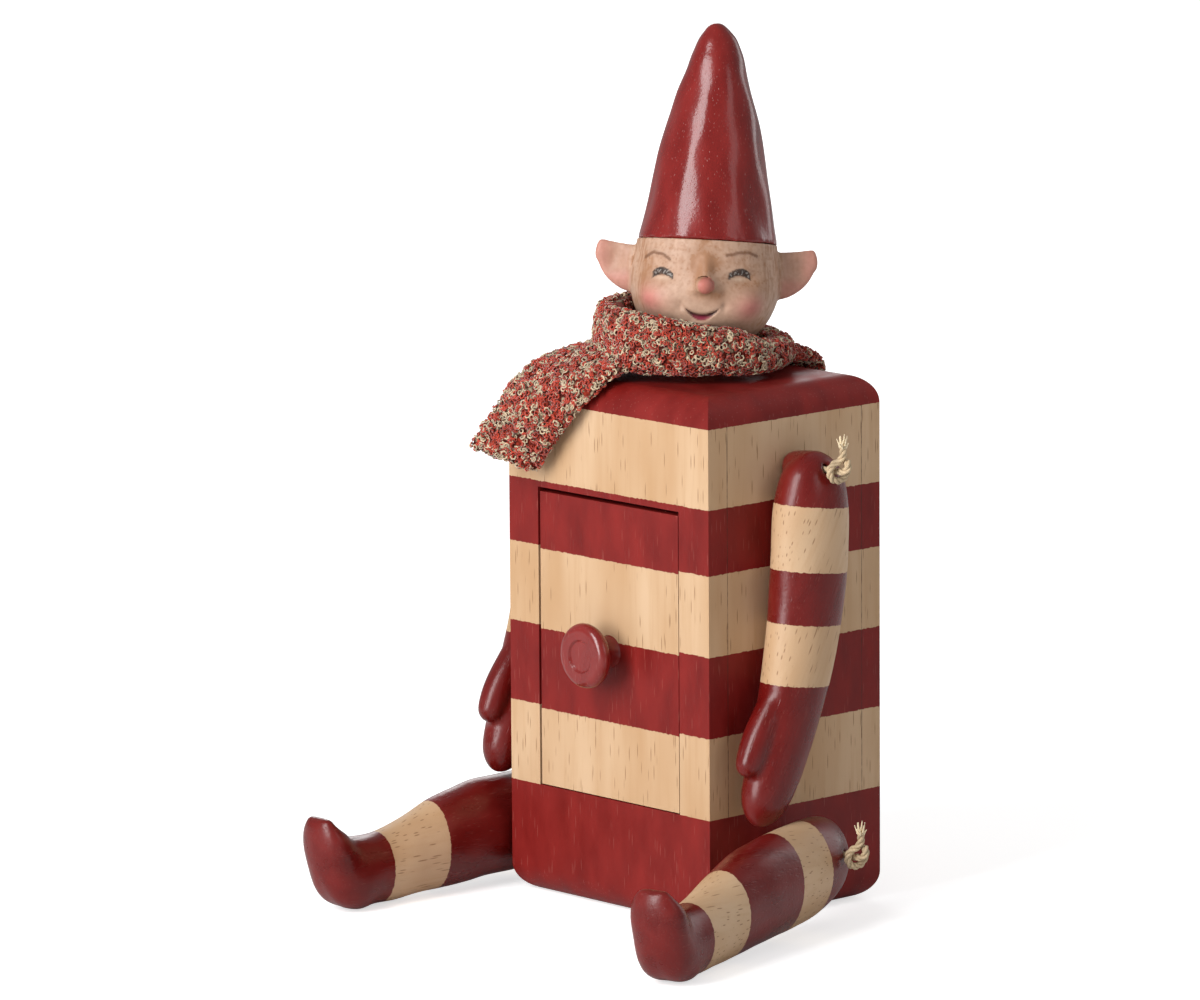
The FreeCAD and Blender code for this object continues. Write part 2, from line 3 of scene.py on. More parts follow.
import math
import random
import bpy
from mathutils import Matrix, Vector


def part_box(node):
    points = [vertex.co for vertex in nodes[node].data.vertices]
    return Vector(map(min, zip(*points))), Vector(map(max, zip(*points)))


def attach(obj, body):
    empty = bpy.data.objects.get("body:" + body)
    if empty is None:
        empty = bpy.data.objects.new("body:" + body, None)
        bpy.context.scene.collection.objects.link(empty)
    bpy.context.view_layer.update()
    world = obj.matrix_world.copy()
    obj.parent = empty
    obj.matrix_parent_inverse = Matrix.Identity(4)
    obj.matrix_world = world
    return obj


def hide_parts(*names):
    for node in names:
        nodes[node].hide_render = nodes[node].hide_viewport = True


bl_info = {
    "name": "Wooden elf with a drawer",
    "version": (1, 0, 0),
    "blender": (4, 5, 0),
    "location": "View3D > Sidebar > Elf",
    "description": "Paint, carving, face, knitted scarf and knotted cords for the packed figure",
    "category": "Object",
}

import bpy
from mathutils import Matrix, Vector, noise

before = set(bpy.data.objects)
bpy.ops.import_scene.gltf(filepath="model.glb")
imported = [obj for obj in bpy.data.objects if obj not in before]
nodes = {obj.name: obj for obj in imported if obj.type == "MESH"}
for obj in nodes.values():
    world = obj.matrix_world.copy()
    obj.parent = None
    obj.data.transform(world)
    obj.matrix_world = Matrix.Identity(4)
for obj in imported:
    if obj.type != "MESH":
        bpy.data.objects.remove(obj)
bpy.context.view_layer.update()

# Lines where the paint changes, in metres above the floor or along a limb
BOX_LINES = (0.0335, 0.05764, 0.08164, 0.1055, 0.12476, 0.1483)
DRAWER_LINES = (0.0335, 0.0566, 0.0806, 0.1045, 0.1238, 0.1483)
ARM_LINES = (0.011, 0.030, 0.0454, 0.0632)
LEG_LINES = {"left_leg": (0.010, 0.0235, 0.0560, 0.0765), "right_leg": (0.0125, 0.030, 0.0590, 0.0785)}

# Where the limbs and the head sit, matching the CAD: places in metres, lean, swing and splay in degrees
SHOULDER = (-0.003, 0.135)
HIP = (0.0, 0.0215)
HIP_REACH = 0.0538
NECK = Vector((0.002, 0.002))
NECK_FOOT = 0.1566
ARM_LEAN = 7
ARM_SWING = {"left_arm": 3.6, "right_arm": 0.0}
LEG_SPLAY = {"left_leg": -1.5, "right_leg": 16.5}

MILLIMETRES_IN_METRE = 1000

# The camera at the photograph's angle: metres, radians and a lens in millimetres
CAMERA_TARGET = (-0.0197, -0.0194, 0.1182)
CAMERA_DISTANCE = 2.5
CAMERA_AZIMUTH = math.radians(47.1)
CAMERA_ELEVATION = math.radians(10.15)
CAMERA_ROLL = math.radians(-0.39)
CAMERA_LENS = 255

# Soft lamps: place, width and height in metres, power in watts
LAMPS = (
    ((0.05, -1.5, 0.75), (0.7, 1.5), 34),
    ((0.2, 1.5, 0.6), (0.5, 1.0), 3),
    ((-1.5, 1.2, 0.8), (0.8, 0.8), 6.5),
    ((1.5, 0.1, 0.75), (0.5, 0.8), 1.8),
)
LAMP_AIM = Vector((0, 0, 0.12))
SKY_STRENGTH = 0.36


class ElfColours(bpy.types.PropertyGroup):
    """Colours that a user may change before the pieces are made."""

    red: bpy.props.FloatVectorProperty(
        name="Red paint", description="Paint of the box, limbs and hat",
        subtype="COLOR", size=3, min=0, max=1, default=(0.175, 0.0065, 0.005))
    beech: bpy.props.FloatVectorProperty(
        name="Beech", description="Bare varnished wood",
        subtype="COLOR", size=3, min=0, max=1, default=(0.565, 0.385, 0.238))
    skin: bpy.props.FloatVectorProperty(
        name="Face", description="Paint of the face and ears",
        subtype="COLOR", size=3, min=0, max=1, default=(0.51, 0.33, 0.235))
    yarn_red: bpy.props.FloatVectorProperty(
        name="Red yarn", description="Darker yarn of the scarf",
        subtype="COLOR", size=3, min=0, max=1, default=(0.44, 0.042, 0.018))
    yarn_cream: bpy.props.FloatVectorProperty(
        name="Cream yarn", description="Lighter yarn of the scarf",
        subtype="COLOR", size=3, min=0, max=1, default=(0.56, 0.43, 0.28))
    twine: bpy.props.FloatVectorProperty(
        name="Twine", description="Cords of the limbs",
        subtype="COLOR", size=3, min=0, max=1, default=(0.56, 0.42, 0.26))


class ElfSizes(bpy.types.PropertyGroup):
    """Sizes of the finish that a user may change before the pieces are made."""

    carving: bpy.props.FloatProperty(
        name="Carving", description="Depth of the knife marks on limbs and hat",
        subtype="DISTANCE", unit="LENGTH", default=0.0004, min=0, max=0.001)
    loop: bpy.props.FloatProperty(
        name="Yarn loop", description="Radius of one loop of the scarf's yarn",
        subtype="DISTANCE", unit="LENGTH", default=0.00064, min=0.0005, max=0.002)
    loops: bpy.props.IntProperty(
        name="Loops", description="Number of yarn loops over the scarf",
        default=10800, min=100, max=12000)
    strand: bpy.props.FloatProperty(
        name="Strand", description="Radius of one strand of the twine",
        subtype="DISTANCE", unit="LENGTH", default=0.00056, min=0.0003, max=0.0008)


# Modelling steps

def alone(piece):
    """Selects one object only."""
    bpy.ops.object.select_all(action="DESELECT")
    piece.select_set(True)
    bpy.context.view_layer.objects.active = piece


def new_piece(name, verts, faces):
    """A mesh object made from points and faces in the row frame."""
    mesh = bpy.data.meshes.new(name)
    mesh.from_pydata(verts, [], faces)
    mesh.update()
    piece = bpy.data.objects.new(name, mesh)
    bpy.context.scene.collection.objects.link(piece)
    alone(piece)
    bpy.ops.object.shade_smooth()
    return piece


def copy_of(node, name):
    """A copy of a CAD node's mesh at its place, with its seams merged."""
    mesh = nodes[node].data.copy()
    mesh.transform(nodes[node].matrix_world)
    mesh.materials.clear()
    piece = bpy.data.objects.new(name, mesh)
    bpy.context.scene.collection.objects.link(piece)
    alone(piece)
    bpy.ops.object.mode_set(mode="EDIT")
    bpy.ops.mesh.select_all(action="SELECT")
    bpy.ops.mesh.remove_doubles(threshold=1e-6)
    bpy.ops.mesh.normals_make_consistent(inside=False)
    bpy.ops.object.mode_set(mode="OBJECT")
    return piece


def even_skin(piece, voxel, rounds):
    """Gives a piece even small faces and rubs its surface smooth."""
    remesh = piece.modifiers.new("Even skin", "REMESH")
    remesh.mode = "VOXEL"
    remesh.voxel_size = voxel
    smooth = piece.modifiers.new("Rubbed", "SMOOTH")
    smooth.factor = 0.5
    smooth.iterations = rounds
    alone(piece)
    for modifier in (remesh, smooth):
        bpy.ops.object.modifier_apply(modifier=modifier.name)
    bpy.ops.object.shade_smooth()


def move_points(piece, shift):
    """Moves every point by what shift gives for its place and normal."""
    points = piece.data.vertices
    moves = [shift(point.co.copy(), point.normal.copy()) for point in points]
    for point, move in zip(points, moves):
        point.co += move
    piece.data.update()


def hollows(place, size, stretch):
    """A slow wave over a carved surface, from -1 to 1, stretched along the height."""
    return noise.noise(Vector((place.x / size, place.y / size, place.z / (size * stretch))))


def soft(value, low, high):
    """0 below low, 1 above high and a smooth change between."""
    share = max(0.0, min(1.0, (value - low) / (high - low)))
    return share * share * (3 - 2 * share)


def bell(value, middle, reach):
    """1 at the middle, falling smoothly to both sides."""
    return math.exp(-(((value - middle) / reach) ** 2))


# Materials

def connect(tree, made, inputs):
    """Puts links or values at a node's inputs."""
    for name, value in inputs.items():
        if isinstance(value, bpy.types.NodeSocket):
            tree.links.new(value, made.inputs[name])
        else:
            made.inputs[name].default_value = value


def node(tree, kind, inputs=None, **settings):
    """One shader node with its settings, and with links or values at its inputs."""
    made = tree.nodes.new(kind)
    for name, value in settings.items():
        setattr(made, name, value)
    connect(tree, made, inputs or {})
    return made


def mixed(tree, factor, first, second):
    """A colour between two."""
    made = node(tree, "ShaderNodeMix", {0: factor, 6: first, 7: second}, data_type="RGBA")
    return made.outputs[2]


def ranged(tree, value, low, high, start=0.0, end=1.0):
    """A value stretched from one range to another and kept inside it."""
    made = node(tree, "ShaderNodeMapRange", {0: value, 1: low, 2: high, 3: start, 4: end})
    return made.outputs[0]


def maths(tree, kind, first, second):
    """One sum or product."""
    return node(tree, "ShaderNodeMath", {0: first, 1: second}, operation=kind).outputs[0]


def opaque(colour):
    """A colour with full cover."""
    return (*colour, 1.0)


def scaled(colour, share):
    """A darker or lighter colour."""
    return tuple(part * share for part in colour)


def tinted(colour, tint):
    """A colour with each part times its own share, with full cover."""
    return opaque([min(1.0, part * share) for part, share in zip(colour, tint)])


def finish(name):
    """A new material with its tree and shader."""
    made = bpy.data.materials.new(name)
    made.use_nodes = True
    return made, made.node_tree, made.node_tree.nodes["Principled BSDF"]


def object_place(tree):
    """Places on a piece in its own coordinates."""
    return node(tree, "ShaderNodeTexCoord").outputs["Object"]


def along_grain(tree, turn, across, length):
    """Object places turned so that the grain is upright, then counted in cells of the given size."""
    place = object_place(tree)
    turned = node(tree, "ShaderNodeMapping", {"Vector": place, "Rotation": turn}).outputs[0]
    size = (1 / across, 1 / across, 1 / length)
    return node(tree, "ShaderNodeMapping", {"Vector": turned, "Scale": size}).outputs[0]


def noise_on(tree, place, scale=1.0, detail=3.0):
    """A cloudy value over a surface."""
    made = node(tree, "ShaderNodeTexNoise", {"Vector": place, "Scale": scale, "Detail": detail})
    return made.outputs[0]


def bumped(tree, shader, height, strength, distance):
    """Gives a surface small relief from a height."""
    bump = node(tree, "ShaderNodeBump", {"Strength": strength, "Distance": distance, "Height": height})
    connect(tree, shader, {"Normal": bump.outputs[0]})
    return bump


# Cells of the wood and its paint: size across and along the grain in metres, and a dash's share of its cell
GRAIN_LINES = (0.0016, 0.03)
GRAIN_TONE = (0.016, 0.07)
PAINT_COVER = (0.007, 0.02)
PAINT_DASHES = (0.0006, 0.014, 0.16)
FLECK_STRETCH = 14

# Tints of beech and of red paint, as shares of the chosen colour, and the colours of glue and steel
WARM = (0.80, 0.70, 0.58)
PORE = (0.42, 0.32, 0.22)
DEEP = (0.8, 0.8, 0.8)
THIN = (1.2, 1.7, 1.7)
PALE = (2.0, 16.0, 16.0)
GLUE = (0.03, 0.015, 0.01, 1)
DULL_STEEL = (0.45, 0.43, 0.40, 1)
BRIGHT_STEEL = (0.62, 0.61, 0.60, 1)

# Paint lines: how far the brush wavers and half the width of the soft edge, in metres
PAINT_WAVER = 0.00018
PAINT_EDGE = 0.00006

# Roughness of bare wood, what wear adds to it, and the roughness under which paint shows a brushed skin
BARE_ROUGHNESS = 0.46
WEAR = 0.14
SMOOTH_PAINT = 0.4
MATT_SHINE = 0.24
YARN_SHINE = 0.2


def flecks(tree, turn, across, length, share):
    """Short dashes along the grain, 1 in a dash and 0 outside."""
    place = along_grain(tree, turn, across, length)
    cells = node(tree, "ShaderNodeTexVoronoi", {"Vector": place, "Scale": 1.0})
    return ranged(tree, cells.outputs["Distance"], share * 0.6, share, 1.0, 0.0)


def bands(tree, height, lines):
    """1 on red bands and 0 on bare ones; the first band is red and every line changes the colour."""
    brush = noise_on(tree, object_place(tree), 1000.0, 3.0)
    waver = ranged(tree, brush, 0.3, 0.7, -PAINT_WAVER, PAINT_WAVER)
    height = maths(tree, "ADD", height, waver)
    low, high = 1.0, 0.0
    total = None
    for line in lines:
        step = ranged(tree, height, line - PAINT_EDGE, line + PAINT_EDGE, low, high)
        total = step if total is None else maths(tree, "ADD", total, step)
        low, high = 0.0, -1.0 if high > 0 else 1.0
    return total


def beech_colour(tree, colour, turn, fleck, share):
    """Bare beech: slow changes of tone, fine lines along the grain and short dark flecks."""
    lines = noise_on(tree, along_grain(tree, turn, *GRAIN_LINES), 1.0, 5.0)
    tone = noise_on(tree, along_grain(tree, turn, *GRAIN_TONE), 1.0, 2.0)
    warm = tinted(colour, WARM)
    base = mixed(tree, ranged(tree, tone, 0.35, 0.7), opaque(colour), warm)
    base = mixed(tree, ranged(tree, lines, 0.5, 0.75, 0.0, 0.45), base, warm)
    marks = flecks(tree, turn, fleck, fleck * FLECK_STRETCH, share)
    strength = maths(tree, "MULTIPLY", marks, 0.8)
    return mixed(tree, strength, base, tinted(colour, PORE)), lines, marks


def red_colour(tree, colour, turn):
    """Thin red paint: uneven cover, with pale dashes where the grain shows through."""
    cover = noise_on(tree, along_grain(tree, turn, *PAINT_COVER), 1.0, 4.0)
    base = mixed(tree, ranged(tree, cover, 0.3, 0.72), tinted(colour, DEEP), tinted(colour, THIN))
    marks = flecks(tree, turn, *PAINT_DASHES)
    strength = maths(tree, "MULTIPLY", marks, 0.5)
    return mixed(tree, strength, base, tinted(colour, PALE)), cover, marks


def seam_mask(tree, reach):
    """1 on the glue lines that the sides show where the front and back boards meet the side boards."""
    source = node(tree, "ShaderNodeTexCoord")
    across = node(tree, "ShaderNodeSeparateXYZ", {0: source.outputs["Object"]}).outputs[1]
    facing = node(tree, "ShaderNodeSeparateXYZ", {0: source.outputs["Normal"]}).outputs[0]
    beyond = maths(tree, "SUBTRACT", maths(tree, "ABSOLUTE", across, 0.0), reach)
    away = maths(tree, "ABSOLUTE", beyond, 0.0)
    rubbed = noise_on(tree, source.outputs["Object"], 500.0, 3.0)
    broken = ranged(tree, rubbed, 0.35, 0.65, 0.35, 0.85)
    line = maths(tree, "MULTIPLY", ranged(tree, away, 0.00008, 0.0002, 1.0, 0.0), broken)
    on_side = ranged(tree, maths(tree, "ABSOLUTE", facing, 0.0), 0.5, 0.7)
    return maths(tree, "MULTIPLY", line, on_side)


def wood_finish(name, colours, turn=(0, 0, 0), height=None, lines=(), gloss=0.42, bare=False,
                fleck=0.00095, share=0.2, seams=0.0, deep=1.0, shine=0.36):
    """Painted, bare or striped wood; height gives the socket that the paint lines are measured on."""
    made, tree, shader = finish(name)
    wood, grain, pores = beech_colour(tree, colours.beech, turn, fleck, share)
    red, cover, dashes = red_colour(tree, scaled(colours.red, deep), turn)
    if bare:
        colour = wood
        rough = ranged(tree, grain, 0.3, 0.7, BARE_ROUGHNESS, BARE_ROUGHNESS + WEAR)
        relief = maths(tree, "SUBTRACT", grain, pores)
    elif not lines:
        colour = red
        rough = ranged(tree, cover, 0.3, 0.7, gloss, gloss + WEAR)
        relief = maths(tree, "SUBTRACT", maths(tree, "MULTIPLY", grain, 0.5), dashes)
    else:
        mask = bands(tree, height(tree), lines)
        colour = mixed(tree, mask, wood, red)
        if seams:
            colour = mixed(tree, seam_mask(tree, seams), colour, GLUE)
        worn = ranged(tree, cover, 0.3, 0.7, 0.0, WEAR)
        rough = maths(tree, "ADD", ranged(tree, mask, 0.0, 1.0, BARE_ROUGHNESS, gloss), worn)
        carved = maths(tree, "SUBTRACT", maths(tree, "MULTIPLY", grain, 0.6), pores)
        relief = maths(tree, "ADD", carved, mask)
    if gloss < SMOOTH_PAINT:
        relief = maths(tree, "ADD", relief, noise_on(tree, object_place(tree), 1100.0, 2.0))
    bump = bumped(tree, shader, relief, 0.35, 0.00012)
    connect(tree, shader, {
        "Base Color": colour, "Roughness": rough, "Coat Normal": bump.outputs[0],
        "Specular IOR Level": shine if gloss < SMOOTH_PAINT else MATT_SHINE})
    return made


def lacquered(material):
    """Adds a clear glossy coat to a finish."""
    tree = material.node_tree
    connect(tree, tree.nodes["Principled BSDF"], {"Coat Weight": 0.5, "Coat Roughness": 0.14})
    return material


def object_height(tree):
    """The height on a piece."""
    return node(tree, "ShaderNodeSeparateXYZ", {0: object_place(tree)}).outputs[2]


def limb_length(tree):
    """The length along a limb, kept on its points."""
    return node(tree, "ShaderNodeAttribute", attribute_name="along").outputs["Fac"]


def give(piece, material):
    """Puts one material on a piece."""
    piece.data.materials.clear()
    piece.data.materials.append(material)


def steel(name):
    """Plain screw steel, a little worn."""
    made, tree, shader = finish(name)
    worn = noise_on(tree, object_place(tree), 900.0, 4.0)
    colour = mixed(tree, ranged(tree, worn, 0.35, 0.7), DULL_STEEL, BRIGHT_STEEL)
    rough = ranged(tree, worn, 0.3, 0.7, 0.3, 0.5)
    connect(tree, shader, {"Base Color": colour, "Roughness": rough, "Metallic": 1.0})
    return made


def yarn(name, colour):
    """Woolly yarn: soft, matt and uneven in tone."""
    made, tree, shader = finish(name)
    place = object_place(tree)
    tone = noise_on(tree, place, 420.0, 3.0)
    fibre = noise_on(tree, place, 2600.0, 3.0)
    dark, fair = opaque(scaled(colour, 0.6)), opaque(scaled(colour, 1.15))
    shade = mixed(tree, ranged(tree, tone, 0.32, 0.68), dark, fair)
    rough = ranged(tree, fibre, 0.3, 0.7, 0.8, 0.95)
    bumped(tree, shader, fibre, 0.5, 0.0002)
    connect(tree, shader, {
        "Base Color": shade, "Roughness": rough, "Sheen Weight": 0.35, "Sheen Roughness": 0.5,
        "Specular IOR Level": YARN_SHINE})
    return made


def knit(name, first, second):
    """The ground under the loops: small stitches in two colours of yarn, with painted shade in the hollows
    between them.
    """
    made, tree, shader = finish(name)
    stitches = node(tree, "ShaderNodeTexVoronoi", {"Vector": object_place(tree), "Scale": 850.0})
    pick = ranged(tree, noise_on(tree, stitches.outputs["Position"], 330.0, 1.0), 0.5, 0.52)
    hollow = stitches.outputs["Distance"]
    shade = mixed(tree, pick, opaque(first), opaque(second))
    # Painted shade: the hollows between stitches darken towards a fifth of the first colour.
    shade = mixed(tree, ranged(tree, hollow, 0.3, 0.7), shade, opaque(scaled(first, 0.2)))
    bump = bumped(tree, shader, hollow, 1.0, 0.0006)
    bump.invert = True
    rough = ranged(tree, hollow, 0.0, 0.8, 0.8, 0.95)
    connect(tree, shader, {"Base Color": shade, "Roughness": rough, "Specular IOR Level": YARN_SHINE})
    return made


# Pieces

# How far the side boards' glue lines lie from the box's middle, in metres
SEAM_REACH = 0.0272


class ELF_OT_box(bpy.types.Operator):
    """Paints and finishes the boards, the drawer, the knob and the fittings"""

    bl_idname = "elf.box"
    bl_label = "Finish box and drawer"

    def execute(self, context):
        colours = context.scene.elf_colours
        red = wood_finish("Red wood", colours)
        striped = wood_finish(
            "Striped wood", colours, height=object_height, lines=BOX_LINES, seams=SEAM_REACH)
        low = nodes["drawer_front"].matrix_world.translation.z
        lines = [line - low for line in DRAWER_LINES]
        front = wood_finish("Striped drawer", colours, height=object_height, lines=lines)
        bare = wood_finish("Bare beech", colours, bare=True)
        lying = wood_finish("Bare beech lengthwise", colours, turn=(math.pi / 2, 0, 0), bare=True)
        plain = steel("Screw steel")
        for name in ("base_block", "top_board"):
            give(nodes[name], red)
        give(nodes["drawer_knob"], lacquered(wood_finish("Red knob", colours, gloss=0.2)))
        for name in ("front_frame", "back_board", "left_side_board", "right_side_board"):
            give(nodes[name], striped)
        give(nodes["drawer_front"], front)
        for name in ("drawer_left_side", "drawer_right_side", "drawer_bottom"):
            give(nodes[name], lying)
        for name in ("drawer_back", "neck_dowel"):
            give(nodes[name], bare)
        for name in ("knob_screw", "neck_screw", "neck_washer"):
            give(nodes[name], plain)
        return {"FINISHED"}


# Skin of the limbs: size of its faces and rounds of rubbing, and the knife marks' size and stretch
LIMB_SKIN = (0.0008, 6)
LIMB_MARKS = (0.011, 1.6)
# Lean of the grain in the arms, and how dark the limbs' paint is
ARM_GRAIN = math.radians(26)
LIMB_DEEP = 0.75
# From fully flat to unchanged round the shoulder cord, as distance from its middle in metres
FLAT_REACH = (0.0022, 0.006)
# The toe's middle, half width, gain at its corners, and where along the leg the gain grows
TOE_MIDDLE = 0.014
TOE_HALF_WIDTH = 0.0088
TOE_GAIN = 0.11
TOE_GROWS = (0.078, 0.088)


def side_of(name):
    """1 for a limb on the right as seen from the front, and -1 on the left."""
    low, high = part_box(name)
    return 1 if high[0] > -low[0] else -1


class ELF_OT_limbs(bpy.types.Operator):
    """Carves and paints the arms and legs over the CAD limbs"""

    bl_idname = "elf.limbs"
    bl_label = "Carve limbs"

    def execute(self, context):
        colours, depth = context.scene.elf_colours, context.scene.elf_sizes.carving
        paints = self.paints(colours)
        for name in ("left_arm", "right_arm", "left_leg", "right_leg"):
            piece = copy_of(name, name + "_carved")
            even_skin(piece, *LIMB_SKIN)
            move_points(piece, lambda place, normal: normal * depth * hollows(place, *LIMB_MARKS))
            shape = self.shape_arm if name in ARM_SWING else self.shape_leg
            start, run = shape(piece, name)
            mark = piece.data.attributes.new("along", "FLOAT", "POINT")
            lengths = [(point.co - start).dot(run) for point in piece.data.vertices]
            mark.data.foreach_set("value", lengths)
            give(piece, paints[name])
            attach(piece, name)
            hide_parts(name)
        return {"FINISHED"}

    def paints(self, colours):
        """One striped paint for both arms and one for each leg, with the grain along the limb."""
        arm = wood_finish(
            "Striped arm", colours, turn=(ARM_GRAIN, 0, 0), height=limb_length, lines=ARM_LINES,
            gloss=0.22, fleck=0.0009, share=0.25, deep=LIMB_DEEP)
        paints = {"left_arm": arm, "right_arm": arm}
        for name, lines in LEG_LINES.items():
            turn = (math.pi / 2, 0, math.radians(-LEG_SPLAY[name]))
            paints[name] = wood_finish(
                "Striped " + name, colours, turn=turn, height=limb_length, lines=lines,
                gloss=0.24, fleck=0.0009, share=0.24, deep=LIMB_DEEP)
        return paints

    def shape_arm(self, piece, name):
        """Flattens an arm round its cord, and gives the line that its paint is measured along."""
        side = side_of(name)
        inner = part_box(name)[0 if side > 0 else 1][0]
        move_points(piece, lambda place, normal: self.flat_shoulder(place, normal, side, inner))
        tilt = math.radians(ARM_LEAN + ARM_SWING[name])
        return Vector((0, *SHOULDER)), Vector((0, -math.sin(tilt), -math.cos(tilt)))

    def shape_leg(self, piece, name):
        """Squares a leg's toe, and gives the line that its paint is measured along."""
        splay = math.radians(LEG_SPLAY[name])
        start = Vector((side_of(name) * HIP_REACH, *HIP))
        run = Vector((math.sin(splay), -math.cos(splay), 0))
        move_points(piece, lambda place, normal: self.square_toe(place, start, run))
        return start, run

    def flat_shoulder(self, place, normal, side, inner):
        """Draws the arm's inner side flat round the cord, as far in as the arm reaches."""
        away = math.hypot(place.y - SHOULDER[0], place.z - SHOULDER[1])
        share = soft(-normal.x * side, 0.05, 0.5) * (1 - soft(away, *FLAT_REACH))
        return Vector(((inner - place.x) * share, 0, 0))

    def square_toe(self, place, start, run):
        """Pushes the toe's corners out, so that its front is a rounded block."""
        along = (place - start).dot(run)
        across = run.cross(Vector((0, 0, 1)))
        beside, above = (place - start).dot(across), place.z - TOE_MIDDLE
        corner = math.sin(2 * math.atan2(above / TOE_MIDDLE, beside / TOE_HALF_WIDTH)) ** 2
        return (across * beside + Vector((0, 0, above))) * TOE_GAIN * corner * soft(along, *TOE_GROWS)


# Drop below the hat's tip, reach up and down, and move outwards
HAT_FORMS = ((0.0025, 0.0025, -0.0006), (0.0105, 0.0035, 0.0004), (0.024, 0.008, -0.0005))
# Skin and knife marks of the hat, given as for the limbs, and how much deeper its marks are
HAT_SKIN = (0.0007, 3)
HAT_MARKS = (0.0075, 2.2)
HAT_DEEPER = 1.5


class ELF_OT_hat(bpy.types.Operator):
    """Carves and paints the pointed hat"""

    bl_idname = "elf.hat"
    bl_label = "Carve hat"

    def execute(self, context):
        colours, depth = context.scene.elf_colours, context.scene.elf_sizes.carving
        piece = copy_of("hat", "hat_carved")
        even_skin(piece, *HAT_SKIN)
        deeper = depth * HAT_DEEPER
        move_points(piece, lambda place, normal: normal * deeper * hollows(place, *HAT_MARKS))
        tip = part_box("hat")[1][2]
        move_points(piece, lambda place, normal: normal * self.taper(tip - place.z))
        give(piece, lacquered(wood_finish("Red hat", colours, gloss=0.22, shine=0.22)))
        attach(piece, "head")
        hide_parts("hat")
        return {"FINISHED"}

    def taper(self, drop):
        """A finer tip and a straighter cone: how far the skin moves out at a drop below the tip."""
        return sum(move * bell(drop, at, reach) for at, reach, move in HAT_FORMS)


# Forms of the face: angle from its middle, height, half width, half height and depth in mm
FACE_FORMS = (
    (-36.5, 29.2, 5.2, 2.8, -1.5), (30.5, 30.0, 5.2, 2.8, -1.5),
    (-36.5, 30.2, 3.8, 1.5, 1.2), (30.5, 31.0, 3.8, 1.5, 1.2),
    (-40.0, 21.8, 5.6, 4.4, 1.7), (38.0, 21.4, 5.6, 4.4, 1.7),
    (1.0, 31.0, 2.0, 4.0, 1.6), (2.0, 27.0, 3.4, 2.6, 1.9),
    (-7.5, 25.0, 1.5, 1.3, 0.7), (11.0, 25.0, 1.5, 1.3, 0.7),
    (0.0, 15.4, 3.8, 1.0, 0.9), (0.0, 12.4, 4.2, 2.0, 0.8),
    (-18.5, 20.4, 1.1, 1.4, -0.7), (18.0, 20.6, 1.1, 1.4, -0.7),
    (-44.0, 35.2, 6.0, 1.2, 0.5), (31.5, 36.4, 6.0, 1.2, 0.5),
)
# Stains of the face, with painted shadow under the nose and painted shade on the right cheek among them,
# given in the same way with a strength in place of the depth
STAINS_AND_SHADE = (
    (-3.5, 33.0, 3.0, 5.2, 1.05), (6.5, 33.6, 2.2, 2.6, 0.6),
    # the next two are painted shadow under the nose
    (3.0, 24.4, 4.4, 2.4, 0.5), (12.0, 23.8, 3.2, 2.4, 0.4),
    # the first is brown on the right cheek, partly stain and partly painted shade
    (42.0, 26.0, 5.0, 4.5, 0.35), (-55.0, 28.0, 3.2, 7.0, 0.65),
    (-36.5, 28.4, 5.6, 2.6, 0.3), (30.5, 28.4, 5.6, 2.6, 0.3),
)
# Blush of the cheeks, given in the same way
CHEEKS = ((-45.0, 21.6, 4.6, 3.6, 0.85), (40.0, 20.4, 4.6, 3.6, 0.8))
# Brush lines of the face, as angle and height
BROWS = (
    ((-57, 33.4), (-46, 35.3), (-36, 34.9), (-30, 33.6)),
    ((17.5, 35.6), (27.5, 36.4), (37.5, 36.6), (46, 35.6)),
)
EYES = ((-36.5, 28.9), (30.4, 29.7))
# Eyes and mouth: half width in degrees, and the height in mm and bend of their upper and lower edges
EYE_HALF = 10.0
EYE_UPPER = (2.2, -1.6)
EYE_LOWER = (0.1, -1.2)
EYE_POINT = 3.4
MOUTH_MIDDLE = -0.9
MOUTH_HALF = 13.8
MOUTH_UPPER = (18.1, 1.6)
MOUTH_LOWER = (16.4, 3.2)
MOUTH_DEPTH = 1.1
# Nose in mm: where its ball starts, how far its tip is drawn out, and the ball's middle and edge
NOSE_START = 22.2
NOSE_GAIN = 1.4
NOSE_MIDDLE = (0.9, 26.8)
NOSE_EDGE = (2.2, 2.9)
# Ears in mm: where they leave the head, and the hollow's middle and reach outwards and up, and its depth
EAR_ROOT = 20.3
HEAD_REACH = 22
EAR_HOLLOW = (26, 3.4)
EAR_HOLLOW_RISE = (31.5, 4.0)
EAR_DEPTH = 1.9
# How much wider the head is, and the middle and reach of that in mm of height
WIDER = 0.04
WIDER_RISE = (27, 6.5)
# The carved face ends at this angle, over this height and under the hat's brim
FACE_SIDE = 85
FACE_FOOT = 7
FACE_TOP = 36.9
# Ranges over which paint changes, in mm of height or reach or in degrees from the face's middle
EAR_STARTS = (21.2, 23.4)
EAR_RIM = (26.0, 31.0)
EAR_UNDERSIDE = (0.0, 4.0)
EAR_MIDDLE = 30.0
BACK_STARTS = (80, 110)
FOREHEAD = (28.0, 34.0)
TEMPLES = (46, 60)
UNDER_CHIN = (6, 15)
SPECKS_START = (22, 30)
PAINTED_REACH = 21.4
PAINTED_SIDE = 75
# Skin of the head: size of its faces and rounds of rubbing
HEAD_SKIN = (0.00042, 3)
# Turn and lean of the head in degrees, and the height of the lean's middle over the neck's foot in metres
HEAD_TURN = 45
HEAD_LEAN_SIDE = 3.2
HEAD_LEAN_BACK = -5
HEAD_LEAN_RISE = 0.014
# Millimetres of the face's surface in one degree
DEGREE = 0.366

